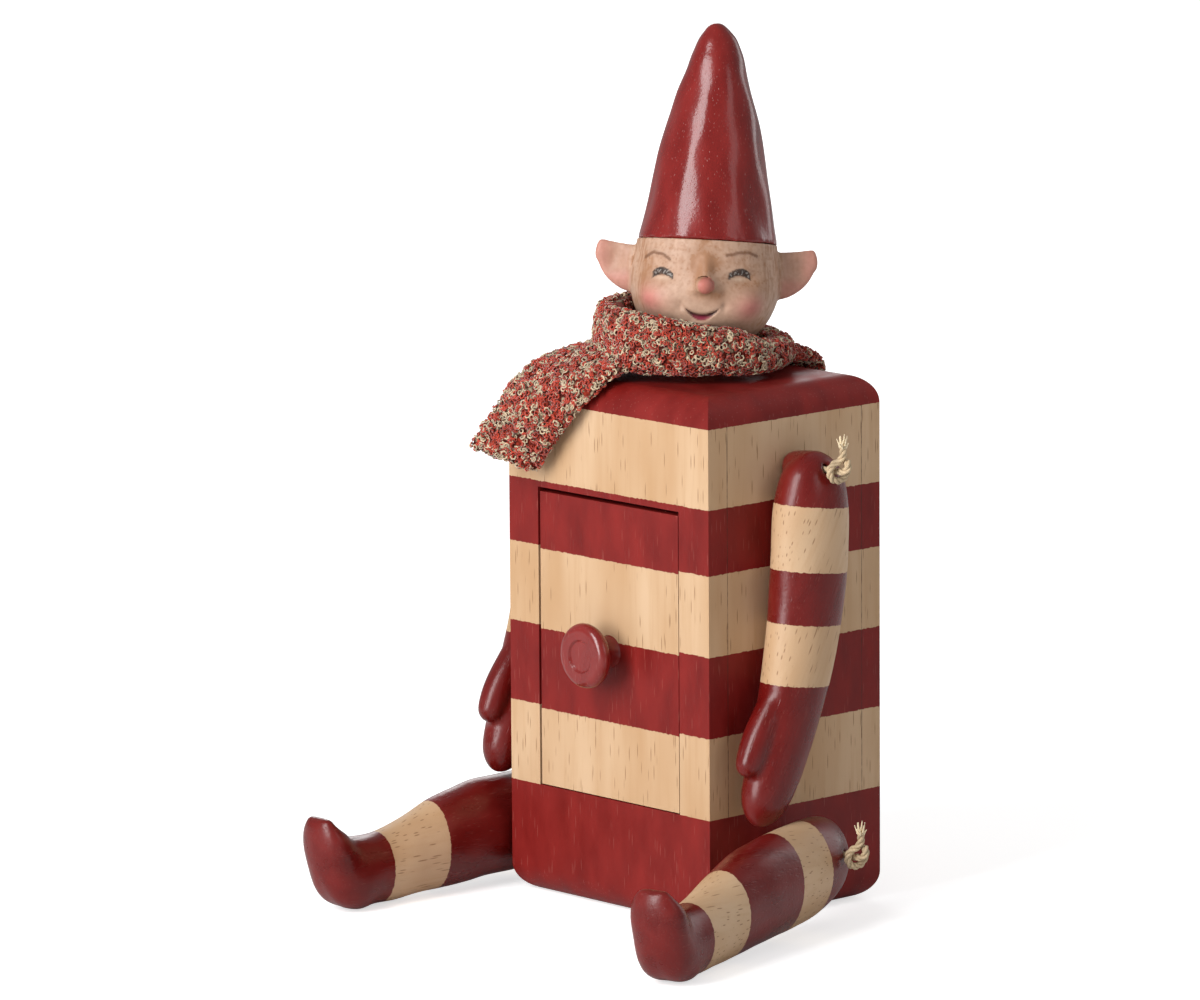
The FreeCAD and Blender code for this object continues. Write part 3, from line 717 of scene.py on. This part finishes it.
# Paints of the face
BROWN = Vector((0.29, 0.13, 0.057))
BLUSH = Vector((0.52, 0.17, 0.15))
DARK = Vector((0.016, 0.012, 0.012))
MAGENTA = Vector((0.24, 0.012, 0.05))
PLUM = Vector((0.03, 0.005, 0.01))
BROW = Vector((0.12, 0.045, 0.02))
NOSE = Vector((0.46, 0.14, 0.115))
GLINT = Vector((0.42, 0.40, 0.37))
LID = Vector((0.62, 0.48, 0.36))
GRIME = (0.24, 0.11, 0.06, 1)


def face_angle(at):
    """Degrees round the head from the face's middle."""
    return math.degrees(math.atan2(at.x, -at.y))


def lump(angle, rise, form):
    """How strong a form or stain is at a place on the face."""
    at, up, wide, high = form[:4]
    return bell(angle * DEGREE, at * DEGREE, wide) * bell(rise, up, high)


def gathered(angle, rise, forms):
    """The sum of forms or stains at a place on the face."""
    return sum(form[4] * lump(angle, rise, form) for form in forms)


def off_line(angle, rise, line):
    """The distance in mm from a place on the face to a brush line."""
    place = Vector((angle * DEGREE, rise))
    least = 99.0
    for (a, b), (c, d) in zip(line, line[1:]):
        start, end = Vector((a * DEGREE, b)), Vector((c * DEGREE, d))
        share = max(0.0, min(1.0, (place - start).dot(end - start) / (end - start).length_squared))
        least = min(least, (place - start.lerp(end, share)).length)
    return least


def between(share, rise, upper, lower):
    """How far a height is inside two bent edges, each given as a height and a bend."""
    bend = share * share
    return min(upper[0] + upper[1] * bend - rise, rise - lower[0] - lower[1] * bend)


def in_mouth(angle, rise):
    """How far inside the open smile a place on the face is: over 0 inside, in mm."""
    return between((angle - MOUTH_MIDDLE) / MOUTH_HALF, rise, MOUTH_UPPER, MOUTH_LOWER)


def in_eye(angle, rise, eye):
    """How far inside a laughing eye's dark arch a place on the face is: over 0 inside, in mm."""
    share = (angle - eye[0]) / EYE_HALF
    return min(between(share, rise - eye[1], EYE_UPPER, EYE_LOWER), (1 - abs(share)) * EYE_POINT)


def head_place():
    """From the upright head that faces the front to its place on the box."""
    lift = Matrix.Translation((0, 0, HEAD_LEAN_RISE))
    sideways = Matrix.Rotation(math.radians(HEAD_LEAN_SIDE), 4, "Y")
    back = Matrix.Rotation(math.radians(HEAD_LEAN_BACK), 4, "X")
    seat = Matrix.Translation((*NECK, NECK_FOOT)) @ Matrix.Rotation(math.radians(HEAD_TURN), 4, "Z")
    return seat @ lift @ sideways @ back @ lift.inverted()


class ELF_OT_head(bpy.types.Operator):
    """Carves the face and ears of the head and paints them"""

    bl_idname = "elf.head"
    bl_label = "Carve head"

    def execute(self, context):
        colours = context.scene.elf_colours
        piece = copy_of("head", "head_carved")
        even_skin(piece, *HEAD_SKIN)
        to_world = head_place()
        to_head = to_world.inverted()
        turn = to_world.to_3x3()
        turn_back = to_head.to_3x3()

        def shift(place, normal):
            move = self.carve(to_head @ place * MILLIMETRES_IN_METRE, turn_back @ normal)
            return turn @ move / MILLIMETRES_IN_METRE

        move_points(piece, shift)
        self.paint(piece, to_head, colours.skin)
        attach(piece, "head")
        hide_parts("head")
        return {"FINISHED"}

    def carve(self, at, facing):
        """How far a place on the head moves, in mm in the upright head's frame."""
        angle, out = face_angle(at), math.hypot(at.x, at.y)
        wider = Vector((at.x * WIDER * bell(at.z, *WIDER_RISE), 0, 0))
        if abs(at.x) > EAR_ROOT and out > HEAD_REACH:
            hollow = bell(abs(at.x), *EAR_HOLLOW) * bell(at.z, *EAR_HOLLOW_RISE)
            return wider + Vector((0, EAR_DEPTH * hollow * soft(-facing.y, 0.1, 0.6), 0))
        if abs(angle) > FACE_SIDE or at.z < FACE_FOOT or facing.z > 0.8:
            return wider
        depth = gathered(angle, at.z, FACE_FORMS)
        depth -= MOUTH_DEPTH * soft(in_mouth(angle, at.z), -0.5, 0.5)
        depth *= soft(FACE_TOP - at.z, 0.0, 1.5)
        if out > NOSE_START:
            depth = NOSE_GAIN if abs(at.x) < 5 else 0.0
        return wider + Vector((at.x / out, at.y / out, 0)) * depth

    def ground(self, at, angle, skin):
        """Skin with a worn brown stain, painted shadow under the nose, brown on the right cheek that is
        partly stain and partly painted shade, darker towards the bottom of the head, and with pink cheeks
        and ears.
        """
        cloud = noise.noise(at / 3.2) * 0.6 + noise.noise(at / 1.1) * 0.4
        streak = noise.noise(Vector((at.x / 0.9, at.y / 0.9, at.z / 6)))
        speck = noise.noise(at / 0.7) + 0.7 * noise.noise(at / 1.9)
        ear = soft(abs(at.x), *EAR_STARTS)
        front = 1 - soft(abs(angle), *BACK_STARTS)
        # This sum holds real stains and painted shade: the shadow under the nose and the right cheek's
        # shade.
        stain_and_shade = (1.0 + 0.4 * cloud + 0.25 * streak) * gathered(angle, at.z, STAINS_AND_SHADE)
        worn = soft(cloud + 0.4 * streak, -0.2, 0.5) * (0.3 + 0.7 * front)
        stain_and_shade += 0.4 * soft(at.z, *FOREHEAD) * worn
        stain_and_shade += 0.5 * soft(abs(angle), *TEMPLES) * front * soft(streak, -0.1, 0.4)
        # Darker towards the bottom of the head, under the chin.
        stain_and_shade += 0.45 * (1 - soft(at.z, *UNDER_CHIN))
        stain_and_shade += 0.42 * soft(speck, 0.1, 0.62) * (0.25 + 0.75 * soft(at.z, *SPECKS_START)) * front
        clean = skin * (0.95 - 0.07 * ear + 0.14 * cloud)
        tone = clean.lerp(BROWN, max(0.0, min(0.8, stain_and_shade)) * (1 - 0.6 * ear))
        rim = max(soft(abs(at.x), *EAR_RIM), soft(EAR_MIDDLE - at.z, *EAR_UNDERSIDE))
        pink = gathered(angle, at.z, CHEEKS) + ear * (0.14 + 0.36 * rim)
        return tone.lerp(BLUSH, min(0.85, pink))

    def features(self, at, angle, tone):
        """Nose, mouth, brows and eyes over the skin's colour."""
        if at.y < -NOSE_START:
            off_ball = math.hypot(at.x - NOSE_MIDDLE[0], at.z - NOSE_MIDDLE[1])
            tone = tone.lerp(NOSE, 0.85 * (1 - soft(off_ball, *NOSE_EDGE)))
        mouth = MAGENTA.lerp(PLUM, soft(at.z, 17.0, 18.3))
        tone = tone.lerp(mouth, 0.95 * soft(in_mouth(angle, at.z), -0.25, 0.15))
        for line in BROWS:
            tone = tone.lerp(BROW, 0.75 * (1 - soft(off_line(angle, at.z, line), 0.25, 0.65)))
        for eye in EYES:
            tone = tone.lerp(LID, 0.5 * lump(angle, at.z, (eye[0], eye[1] - 0.9, 2.6, 0.7)))
            inside = in_eye(angle, at.z, eye)
            tone = tone.lerp(DARK, 0.95 * soft(inside, -0.25, 0.1))
            glint = soft(noise.noise(at / 0.5), 0.08, 0.34) * soft(inside, 0.1, 0.4)
            tone = tone.lerp(GLINT, 0.65 * glint)
        return tone

    def paint(self, piece, to_head, skin):
        """Brushes the face's colours on as a colour for every point."""
        colour = piece.data.attributes.new("brushed", "FLOAT_COLOR", "POINT")
        values = []
        for point in piece.data.vertices:
            at = to_head @ point.co * MILLIMETRES_IN_METRE
            angle = face_angle(at)
            tone = self.ground(at, angle, Vector(skin))
            if abs(at.x) < PAINTED_REACH and abs(angle) < PAINTED_SIDE:
                tone = self.features(at, angle, tone)
            values.extend((*tone, 1.0))
        colour.data.foreach_set("color", values)
        made, tree, shader = finish("Painted face")
        brushed = node(tree, "ShaderNodeAttribute", attribute_name="brushed").outputs["Color"]
        grime = noise_on(tree, object_place(tree), 700.0, 4.0)
        tone = mixed(tree, ranged(tree, grime, 0.4, 0.75, 0.0, 0.22), brushed, GRIME)
        rough = ranged(tree, grime, 0.3, 0.7, 0.4, 0.54)
        connect(tree, shader, {"Base Color": tone, "Roughness": rough, "Specular IOR Level": MATT_SHINE})
        bumped(tree, shader, grime, 0.25, 0.00015)
        give(piece, made)


def ring_template(around, sides, radius, thick):
    """A loop of yarn, saddle-shaped, as points and faces."""
    points, faces = [], []
    for k in range(around):
        turn = math.tau * k / around
        saddle = Vector((math.cos(turn), 0.85 * math.sin(turn), 0.3 * math.cos(2 * turn)))
        middle = saddle * radius
        out = Vector((math.cos(turn), math.sin(turn), 0))
        for j in range(sides):
            roll = math.tau * j / sides
            points.append(middle + (out * math.cos(roll) + Vector((0, 0, math.sin(roll)))) * thick)
    for k in range(around):
        for j in range(sides):
            ahead, beside = (k + 1) % around * sides, (j + 1) % sides
            faces.append((k * sides + j, ahead + j, ahead + beside, k * sides + beside))
    return points, faces


# The side where the collar lies lowest, where it starts to sink on that side, and by what share
LOW_SIDE = Vector((0.68, 0.73))
SINK_STARTS = (0.008, 0.02)
SINK = 0.24
# The collar's reach from the neck's axis, and its greatest rise, which keeps it under the turning ears
COLLAR_REACH = 0.034
COLLAR_TOP = 0.0203
# Skin of the scarf: size of its faces and rounds of rubbing, the lumps' height and size,
# and how far the skin is drawn in and filled out again on its upper side
SCARF_SKIN = (0.0011, 5)
LUMP_HEIGHT = 0.0006
LUMP_SIZE = (0.006, 1.0)
DRAWN_IN = 0.0008
FILLED_OUT = 0.0012
# Loops: points round a loop and round its yarn, the yarn's thickness and how far a loop stands out, as
# shares of a loop's radius, their tilt and size, and their room to the turning head
LOOP_POINTS = (6, 3)
LOOP_THICKNESS = 0.36
LOOP_STANDS = 0.45
LOOP_TILT = (0.1, 1.25)
LOOP_SIZE = (0.7, 1.35)
HEAD_ROOM = 0.0008
# Patches of pale yarn: their size in metres, their strength, and the level over which a loop is pale
PALE_PATCH = 0.003
PALE_STRENGTH = 0.55
PALE_LEVEL = 0.13


class ELF_OT_scarf(bpy.types.Operator):
    """Knits the scarf: a soft body covered with loops of two yarns"""

    bl_idname = "elf.scarf"
    bl_label = "Knit scarf"

    def execute(self, context):
        colours, sizes = context.scene.elf_colours, context.scene.elf_sizes
        body = copy_of("scarf", "scarf_body")
        even_skin(body, *SCARF_SKIN)
        move_points(body, self.loosen)
        # The ground's yarn colours are darkened: painted shade under the loops.
        give(body, knit("Scarf ground", scaled(colours.yarn_red, 0.6), scaled(colours.yarn_cream, 0.6)))
        pieces = [body]
        spots = self.spots(body, sizes.loops)
        red, cream = yarn("Red yarn", colours.yarn_red), yarn("Cream yarn", colours.yarn_cream)
        for name, pale, collar in (
            ("scarf_red_loops", False, True), ("scarf_cream_loops", True, True),
            ("scarf_end_red_loops", False, False), ("scarf_end_cream_loops", True, False),
        ):
            chosen = [spot for spot in spots if spot[3] == pale and self.on_collar(spot[0]) == collar]
            piece = self.loops(name, chosen, sizes.loop)
            give(piece, cream if pale else red)
            pieces.append(piece)
        for piece in pieces:
            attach(piece, "box")
            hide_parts("scarf")
        return {"FINISHED"}

    def loosen(self, place, normal):
        """Small lumps, a fuller upper side, and the collar let down away from the long end."""
        swell = LUMP_HEIGHT * hollows(place, *LUMP_SIZE) - DRAWN_IN
        swell += FILLED_OUT * soft(normal.z, 0.3, 0.9)
        rise = place.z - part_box("top_board")[1][2]
        low = soft((place.xy - NECK).dot(LOW_SIDE), *SINK_STARTS)
        move = normal * swell - Vector((0, 0, SINK * low * max(0.0, rise)))
        move.z -= max(0.0, rise + move.z - COLLAR_TOP)
        return move

    def on_collar(self, place):
        """Whether a place is on the collar and not on an end."""
        return (place.xy - NECK).length < COLLAR_REACH

    def spots(self, body, count):
        """Spots spread evenly over the body: place, normal, a random pose and whether the yarn is pale."""
        chance = random.Random(11)
        body.data.calc_loop_triangles()
        triangles, points = body.data.loop_triangles, body.data.vertices
        corners = [[points[k] for k in triangle.vertices] for triangle in triangles]
        areas = [triangle.area for triangle in triangles]
        swept = self.swept_head()
        spots = []
        for first, second, third in chance.choices(corners, areas, k=count):
            u, v = chance.random(), chance.random()
            if u + v > 1:
                u, v = 1 - u, 1 - v
            place = first.co + (second.co - first.co) * u + (third.co - first.co) * v
            normal = first.normal.copy()
            turn = chance.random() * math.tau
            tilt = chance.uniform(*LOOP_TILT)
            if self.near_head(place + normal * 0.0005, swept):
                continue
            level = noise.noise(place / PALE_PATCH) * PALE_STRENGTH + chance.uniform(-0.5, 0.5)
            pose = (turn, tilt, chance.uniform(*LOOP_SIZE))
            spots.append((place, normal, pose, level > PALE_LEVEL))
        return spots

    def swept_head(self):
        """The head's greatest reach from its axis for every millimetre of height, over a whole turn."""
        reach = {}
        for point in bpy.data.objects["head_carved"].data.vertices:
            height = round(point.co.z * MILLIMETRES_IN_METRE)
            reach[height] = max(reach.get(height, 0.0), (point.co.xy - NECK).length)
        return reach

    def near_head(self, place, swept):
        """Whether a loop at a place would rub on the turning head."""
        height = round(place.z * MILLIMETRES_IN_METRE)
        widest = max(swept.get(height + step, 0.0) for step in (-1, 0, 1))
        return (place.xy - NECK).length < widest + HEAD_ROOM

    def loops(self, name, spots, radius):
        """One mesh of many loops, each turned, tilted and sized in its own way."""
        points, faces = ring_template(*LOOP_POINTS, radius, radius * LOOP_THICKNESS)
        verts, quads = [], []
        for place, normal, (turn, tilt, size), _ in spots:
            stand = normal.to_track_quat("Z", "Y").to_matrix()
            lean = Matrix.Rotation(turn, 3, "Z") @ Matrix.Rotation(tilt, 3, "X")
            pose = stand @ lean
            centre = place + normal * radius * size * LOOP_STANDS
            first = len(verts)
            verts.extend(centre + pose @ (point * size) for point in points)
            quads.extend(tuple(first + k for k in face) for face in faces)
        return new_piece(name, verts, quads)


# Knot outside a limb as outward, across and up in mm from the hole's mouth
KNOT = (
    (0, 0, 0), (2.5, 0, 0), (4.6, 0, 0.1), (6.0, 0.2, 1.2), (5.6, 0.6, 2.9), (4.2, 1.4, 2.9),
    (3.3, 2.6, 1.7), (2.9, 3.0, -0.4), (2.5, 1.9, -2.4), (2.1, -0.3, -2.9), (1.8, -2.4, -2.0),
    (1.6, -3.0, 0.2), (2.2, -2.4, 2.2), (3.9, -1.0, 3.3), (4.6, -0.4, 4.8), (4.8, -0.6, 6.4),
    (5.2, -0.9, 8.2),
)
# How far the knot reaches out from the hole's mouth, and the length of one twist of the twine, in metres
KNOT_REACH = 0.0067
TWIST = 0.0065
STRAND_SIDES = 7
# Fibres at each tail: their number, sides, radius, length, spread and bend in metres
FIBRES = 18
FIBRE_SIDES = 5
FIBRE_RADIUS = 0.00028
FIBRE_LENGTH = (0.0014, 0.0026)
FIBRE_SPREAD = 0.0007
FIBRE_BEND = 0.0006
FIBRE_STEPS = (0, 0.25, 0.5, 0.75, 1)


def route_points(name, controls):
    """Points read from a smooth curve along the controls."""
    curve = bpy.data.curves.new(name, "CURVE")
    curve.dimensions = "3D"
    curve.resolution_u = 8
    spline = curve.splines.new("NURBS")
    spline.points.add(len(controls) - 1)
    for point, place in zip(spline.points, controls):
        point.co = (*place, 1)
    spline.order_u = 3
    spline.use_endpoint_u = True
    holder = bpy.data.objects.new(name, curve)
    bpy.context.scene.collection.objects.link(holder)
    mesh = bpy.data.meshes.new_from_object(holder.evaluated_get(bpy.context.evaluated_depsgraph_get()))
    places = [vertex.co.copy() for vertex in mesh.vertices]
    bpy.data.objects.remove(holder)
    bpy.data.curves.remove(curve)
    bpy.data.meshes.remove(mesh)
    return places


def tube(path, radius, sides, verts, faces):
    """Adds a closed tube along a path, its radius given for each share of the length."""
    first, side = len(verts), Vector((0.3, 0.5, 0.8))
    for k, place in enumerate(path):
        run = (path[min(k + 1, len(path) - 1)] - path[max(k - 1, 0)]).normalized()
        side = (side - run * side.dot(run)).normalized()
        other = run.cross(side)
        size = radius(k / (len(path) - 1))
        for j in range(sides):
            turn = math.tau * j / sides
            verts.append(place + (side * math.cos(turn) + other * math.sin(turn)) * size)
    for k in range(len(path) - 1):
        for j in range(sides):
            low, high, beside = first + k * sides, first + (k + 1) * sides, (j + 1) % sides
            faces.append((low + j, low + beside, high + beside, high + j))
    faces.append(tuple(first + j for j in reversed(range(sides))))
    faces.append(tuple(first + (len(path) - 1) * sides + j for j in range(sides)))


class ELF_OT_cords(bpy.types.Operator):
    """Twists the two cords of the limbs, with a knot and a frayed tail at each end"""

    bl_idname = "elf.cords"
    bl_label = "Twist cords"

    def execute(self, context):
        colours, strand = context.scene.elf_colours, context.scene.elf_sizes.strand
        twine = self.material("Twine", colours.twine)
        bleached = tuple(min(0.9, part * 1.5 + 0.12) for part in colours.twine)
        frayed = self.material("Frayed twine", bleached)
        for name, (y, z) in (("shoulder_cord", SHOULDER), ("hip_cord", HIP)):
            low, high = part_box(name)
            ends = []
            for side, reach in ((-1, -low[0]), (1, high[0])):
                mouth = Vector((side * (reach - KNOT_REACH), y, z))
                ends.append([mouth + Vector((side * o, a, u)) * 0.001 for o, a, u in KNOT])
            between_ends = [Vector((x * 0.001, y, z)) for x in range(-40, 41, 10)]
            controls = ends[0][::-1] + between_ends + ends[1]
            piece = self.rope(name + "_twine", route_points(name, controls), strand)
            piece.data.materials.append(twine)
            piece.data.materials.append(frayed)
            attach(piece, "box")
            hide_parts(name)
        return {"FINISHED"}

    def rope(self, name, route, strand):
        """Three strands twisted along the route, and loose fibres at both tails."""
        verts, faces = [], []
        for path in self.strands(route, strand):
            tube(path, lambda share: strand, STRAND_SIDES, verts, faces)
        plain = len(faces)
        for path in self.fibres(route):
            tube(path, lambda share: FIBRE_RADIUS * (1 - 0.6 * share), FIBRE_SIDES, verts, faces)
        piece = new_piece(name, verts, faces)
        for polygon in piece.data.polygons[plain:]:
            polygon.material_index = 1
        return piece

    def strands(self, route, strand):
        """Three paths that wind round the route."""
        side, turn, paths = Vector((0.2, 0.4, 0.9)), 0.0, [[], [], []]
        for k, place in enumerate(route):
            before = route[max(k - 1, 0)]
            run = (route[min(k + 1, len(route) - 1)] - before).normalized()
            side = (side - run * side.dot(run)).normalized()
            turn += (place - before).length / TWIST * math.tau
            for j, path in enumerate(paths):
                roll = turn + math.tau * j / 3
                path.append(place + (side * math.cos(roll) + run.cross(side) * math.sin(roll)) * strand)
        return paths

    def fibres(self, route):
        """Paths of loose fibres that spread from both tails."""
        chance = random.Random(5)
        paths = []
        for tip, behind in ((route[0], route[3]), (route[-1], route[-4])):
            run = (tip - behind).normalized()
            for _ in range(FIBRES):
                spread = Vector([chance.uniform(-1, 1) for _ in range(3)]) * FIBRE_SPREAD
                length = chance.uniform(*FIBRE_LENGTH)
                bend = Vector([chance.uniform(-1, 1) for _ in range(3)]) * FIBRE_BEND
                start = tip - run * 0.001 + spread
                paths.append([start + (run * length + spread) * s + bend * s * s for s in FIBRE_STEPS])
        return paths

    def material(self, name, colour):
        """Dry twine with fine fibres and painted shade as darker hollows between them."""
        made, tree, shader = finish(name)
        place = object_place(tree)
        fibre = noise_on(tree, place, 1800.0, 4.0)
        tone = noise_on(tree, place, 260.0, 2.0)
        dark, fair = opaque(scaled(colour, 0.7)), opaque(scaled(colour, 1.1))
        base = mixed(tree, ranged(tree, tone, 0.3, 0.7), dark, fair)
        # Painted shade: darker marks where the fibres leave hollows.
        base = mixed(tree, ranged(tree, fibre, 0.5, 0.75, 0.0, 0.5), base, opaque(scaled(colour, 0.4)))
        rough = ranged(tree, fibre, 0.3, 0.7, 0.7, 0.9)
        connect(tree, shader, {"Base Color": base, "Roughness": rough})
        bumped(tree, shader, fibre, 0.5, 0.0002)
        return made


class ELF_OT_stage(bpy.types.Operator):
    """Sets the floor, the soft light and the camera"""

    bl_idname = "elf.stage"
    bl_label = "Set stage"

    def execute(self, context):
        bpy.ops.object.select_all(action="DESELECT")
        bpy.ops.mesh.primitive_plane_add(size=40, location=(0, 0, 0))
        floor = context.active_object
        floor.name = "floor"
        give(floor, self.floor_finish())
        self.light(context)
        self.aim_camera(context)
        return {"FINISHED"}

    def light(self, context):
        """Soft lamps that face the elf, and an even pale sky."""
        scene = context.scene
        for place, (wide, tall), power in LAMPS:
            bpy.ops.object.light_add(type="AREA", location=place)
            lamp = context.active_object
            lamp.data.shape = "RECTANGLE"
            lamp.data.size = wide
            lamp.data.size_y = tall
            lamp.data.energy = power
            lamp.rotation_euler = (LAMP_AIM - Vector(place)).to_track_quat("-Z", "Y").to_euler()
        scene.world = bpy.data.worlds.new("Studio")
        scene.world.use_nodes = True
        sky = scene.world.node_tree.nodes["Background"]
        sky.inputs["Color"].default_value = (1, 1, 1, 1)
        sky.inputs["Strength"].default_value = SKY_STRENGTH
        scene.view_settings.view_transform = "Standard"

    def aim_camera(self, context):
        """The camera at the photograph's angle."""
        bpy.ops.object.camera_add()
        camera = context.active_object
        camera.location = Vector(CAMERA_TARGET) + CAMERA_DISTANCE * Vector((
            math.sin(CAMERA_AZIMUTH) * math.cos(CAMERA_ELEVATION),
            -math.cos(CAMERA_AZIMUTH) * math.cos(CAMERA_ELEVATION),
            math.sin(CAMERA_ELEVATION)))
        level = Matrix.Rotation(math.pi / 2 - CAMERA_ELEVATION, 3, "X")
        turn = Matrix.Rotation(CAMERA_AZIMUTH, 3, "Z") @ level
        camera.rotation_euler = (turn @ Matrix.Rotation(CAMERA_ROLL, 3, "Z")).to_euler()
        camera.data.sensor_fit = "HORIZONTAL"
        camera.data.sensor_width = 36
        camera.data.lens = CAMERA_LENS
        context.scene.camera = camera

    def floor_finish(self):
        """A pale matt floor with a glow that only the camera sees and that grows with distance."""
        made, tree, shader = finish("Pale floor")
        place = object_place(tree)
        shade = mixed(tree, noise_on(tree, place, 3.0, 2.0), (0.8, 0.8, 0.8, 1), (0.83, 0.83, 0.83, 1))
        away = node(tree, "ShaderNodeVectorMath", {0: place}, operation="LENGTH").outputs["Value"]
        seen = node(tree, "ShaderNodeLightPath").outputs["Is Camera Ray"]
        glow = maths(tree, "MULTIPLY", ranged(tree, away, 0.3, 3.0, 0.6, 1.0), seen)
        connect(tree, shader, {
            "Base Color": shade, "Emission Strength": glow, "Emission Color": (1, 1, 1, 1),
            "Roughness": 0.9, "Specular IOR Level": 0.1})
        return made


class ELF_PT_panel(bpy.types.Panel):
    """Colours, sizes and steps of the elf"""

    bl_idname = "ELF_PT_panel"
    bl_label = "Wooden elf"
    bl_space_type = "VIEW_3D"
    bl_region_type = "UI"
    bl_category = "Elf"

    def draw(self, context):
        for group in (context.scene.elf_colours, context.scene.elf_sizes):
            for name in group.__annotations__:
                self.layout.prop(group, name)
        for step in STEPS:
            self.layout.operator(step.bl_idname)


STEPS = (ELF_OT_box, ELF_OT_limbs, ELF_OT_hat, ELF_OT_head, ELF_OT_scarf, ELF_OT_cords, ELF_OT_stage)
CLASSES = (ElfColours, ElfSizes, *STEPS, ELF_PT_panel)


def register():
    for kind in CLASSES:
        bpy.utils.register_class(kind)
    bpy.types.Scene.elf_colours = bpy.props.PointerProperty(type=ElfColours)
    bpy.types.Scene.elf_sizes = bpy.props.PointerProperty(type=ElfSizes)


def unregister():
    del bpy.types.Scene.elf_sizes
    del bpy.types.Scene.elf_colours
    for kind in reversed(CLASSES):
        bpy.utils.unregister_class(kind)


def main():
    register()
    bpy.ops.elf.box()
    bpy.ops.elf.limbs()
    bpy.ops.elf.hat()
    bpy.ops.elf.head()
    bpy.ops.elf.scarf()
    bpy.ops.elf.cords()
    bpy.ops.elf.stage()


if __name__ == "__main__":
    main()
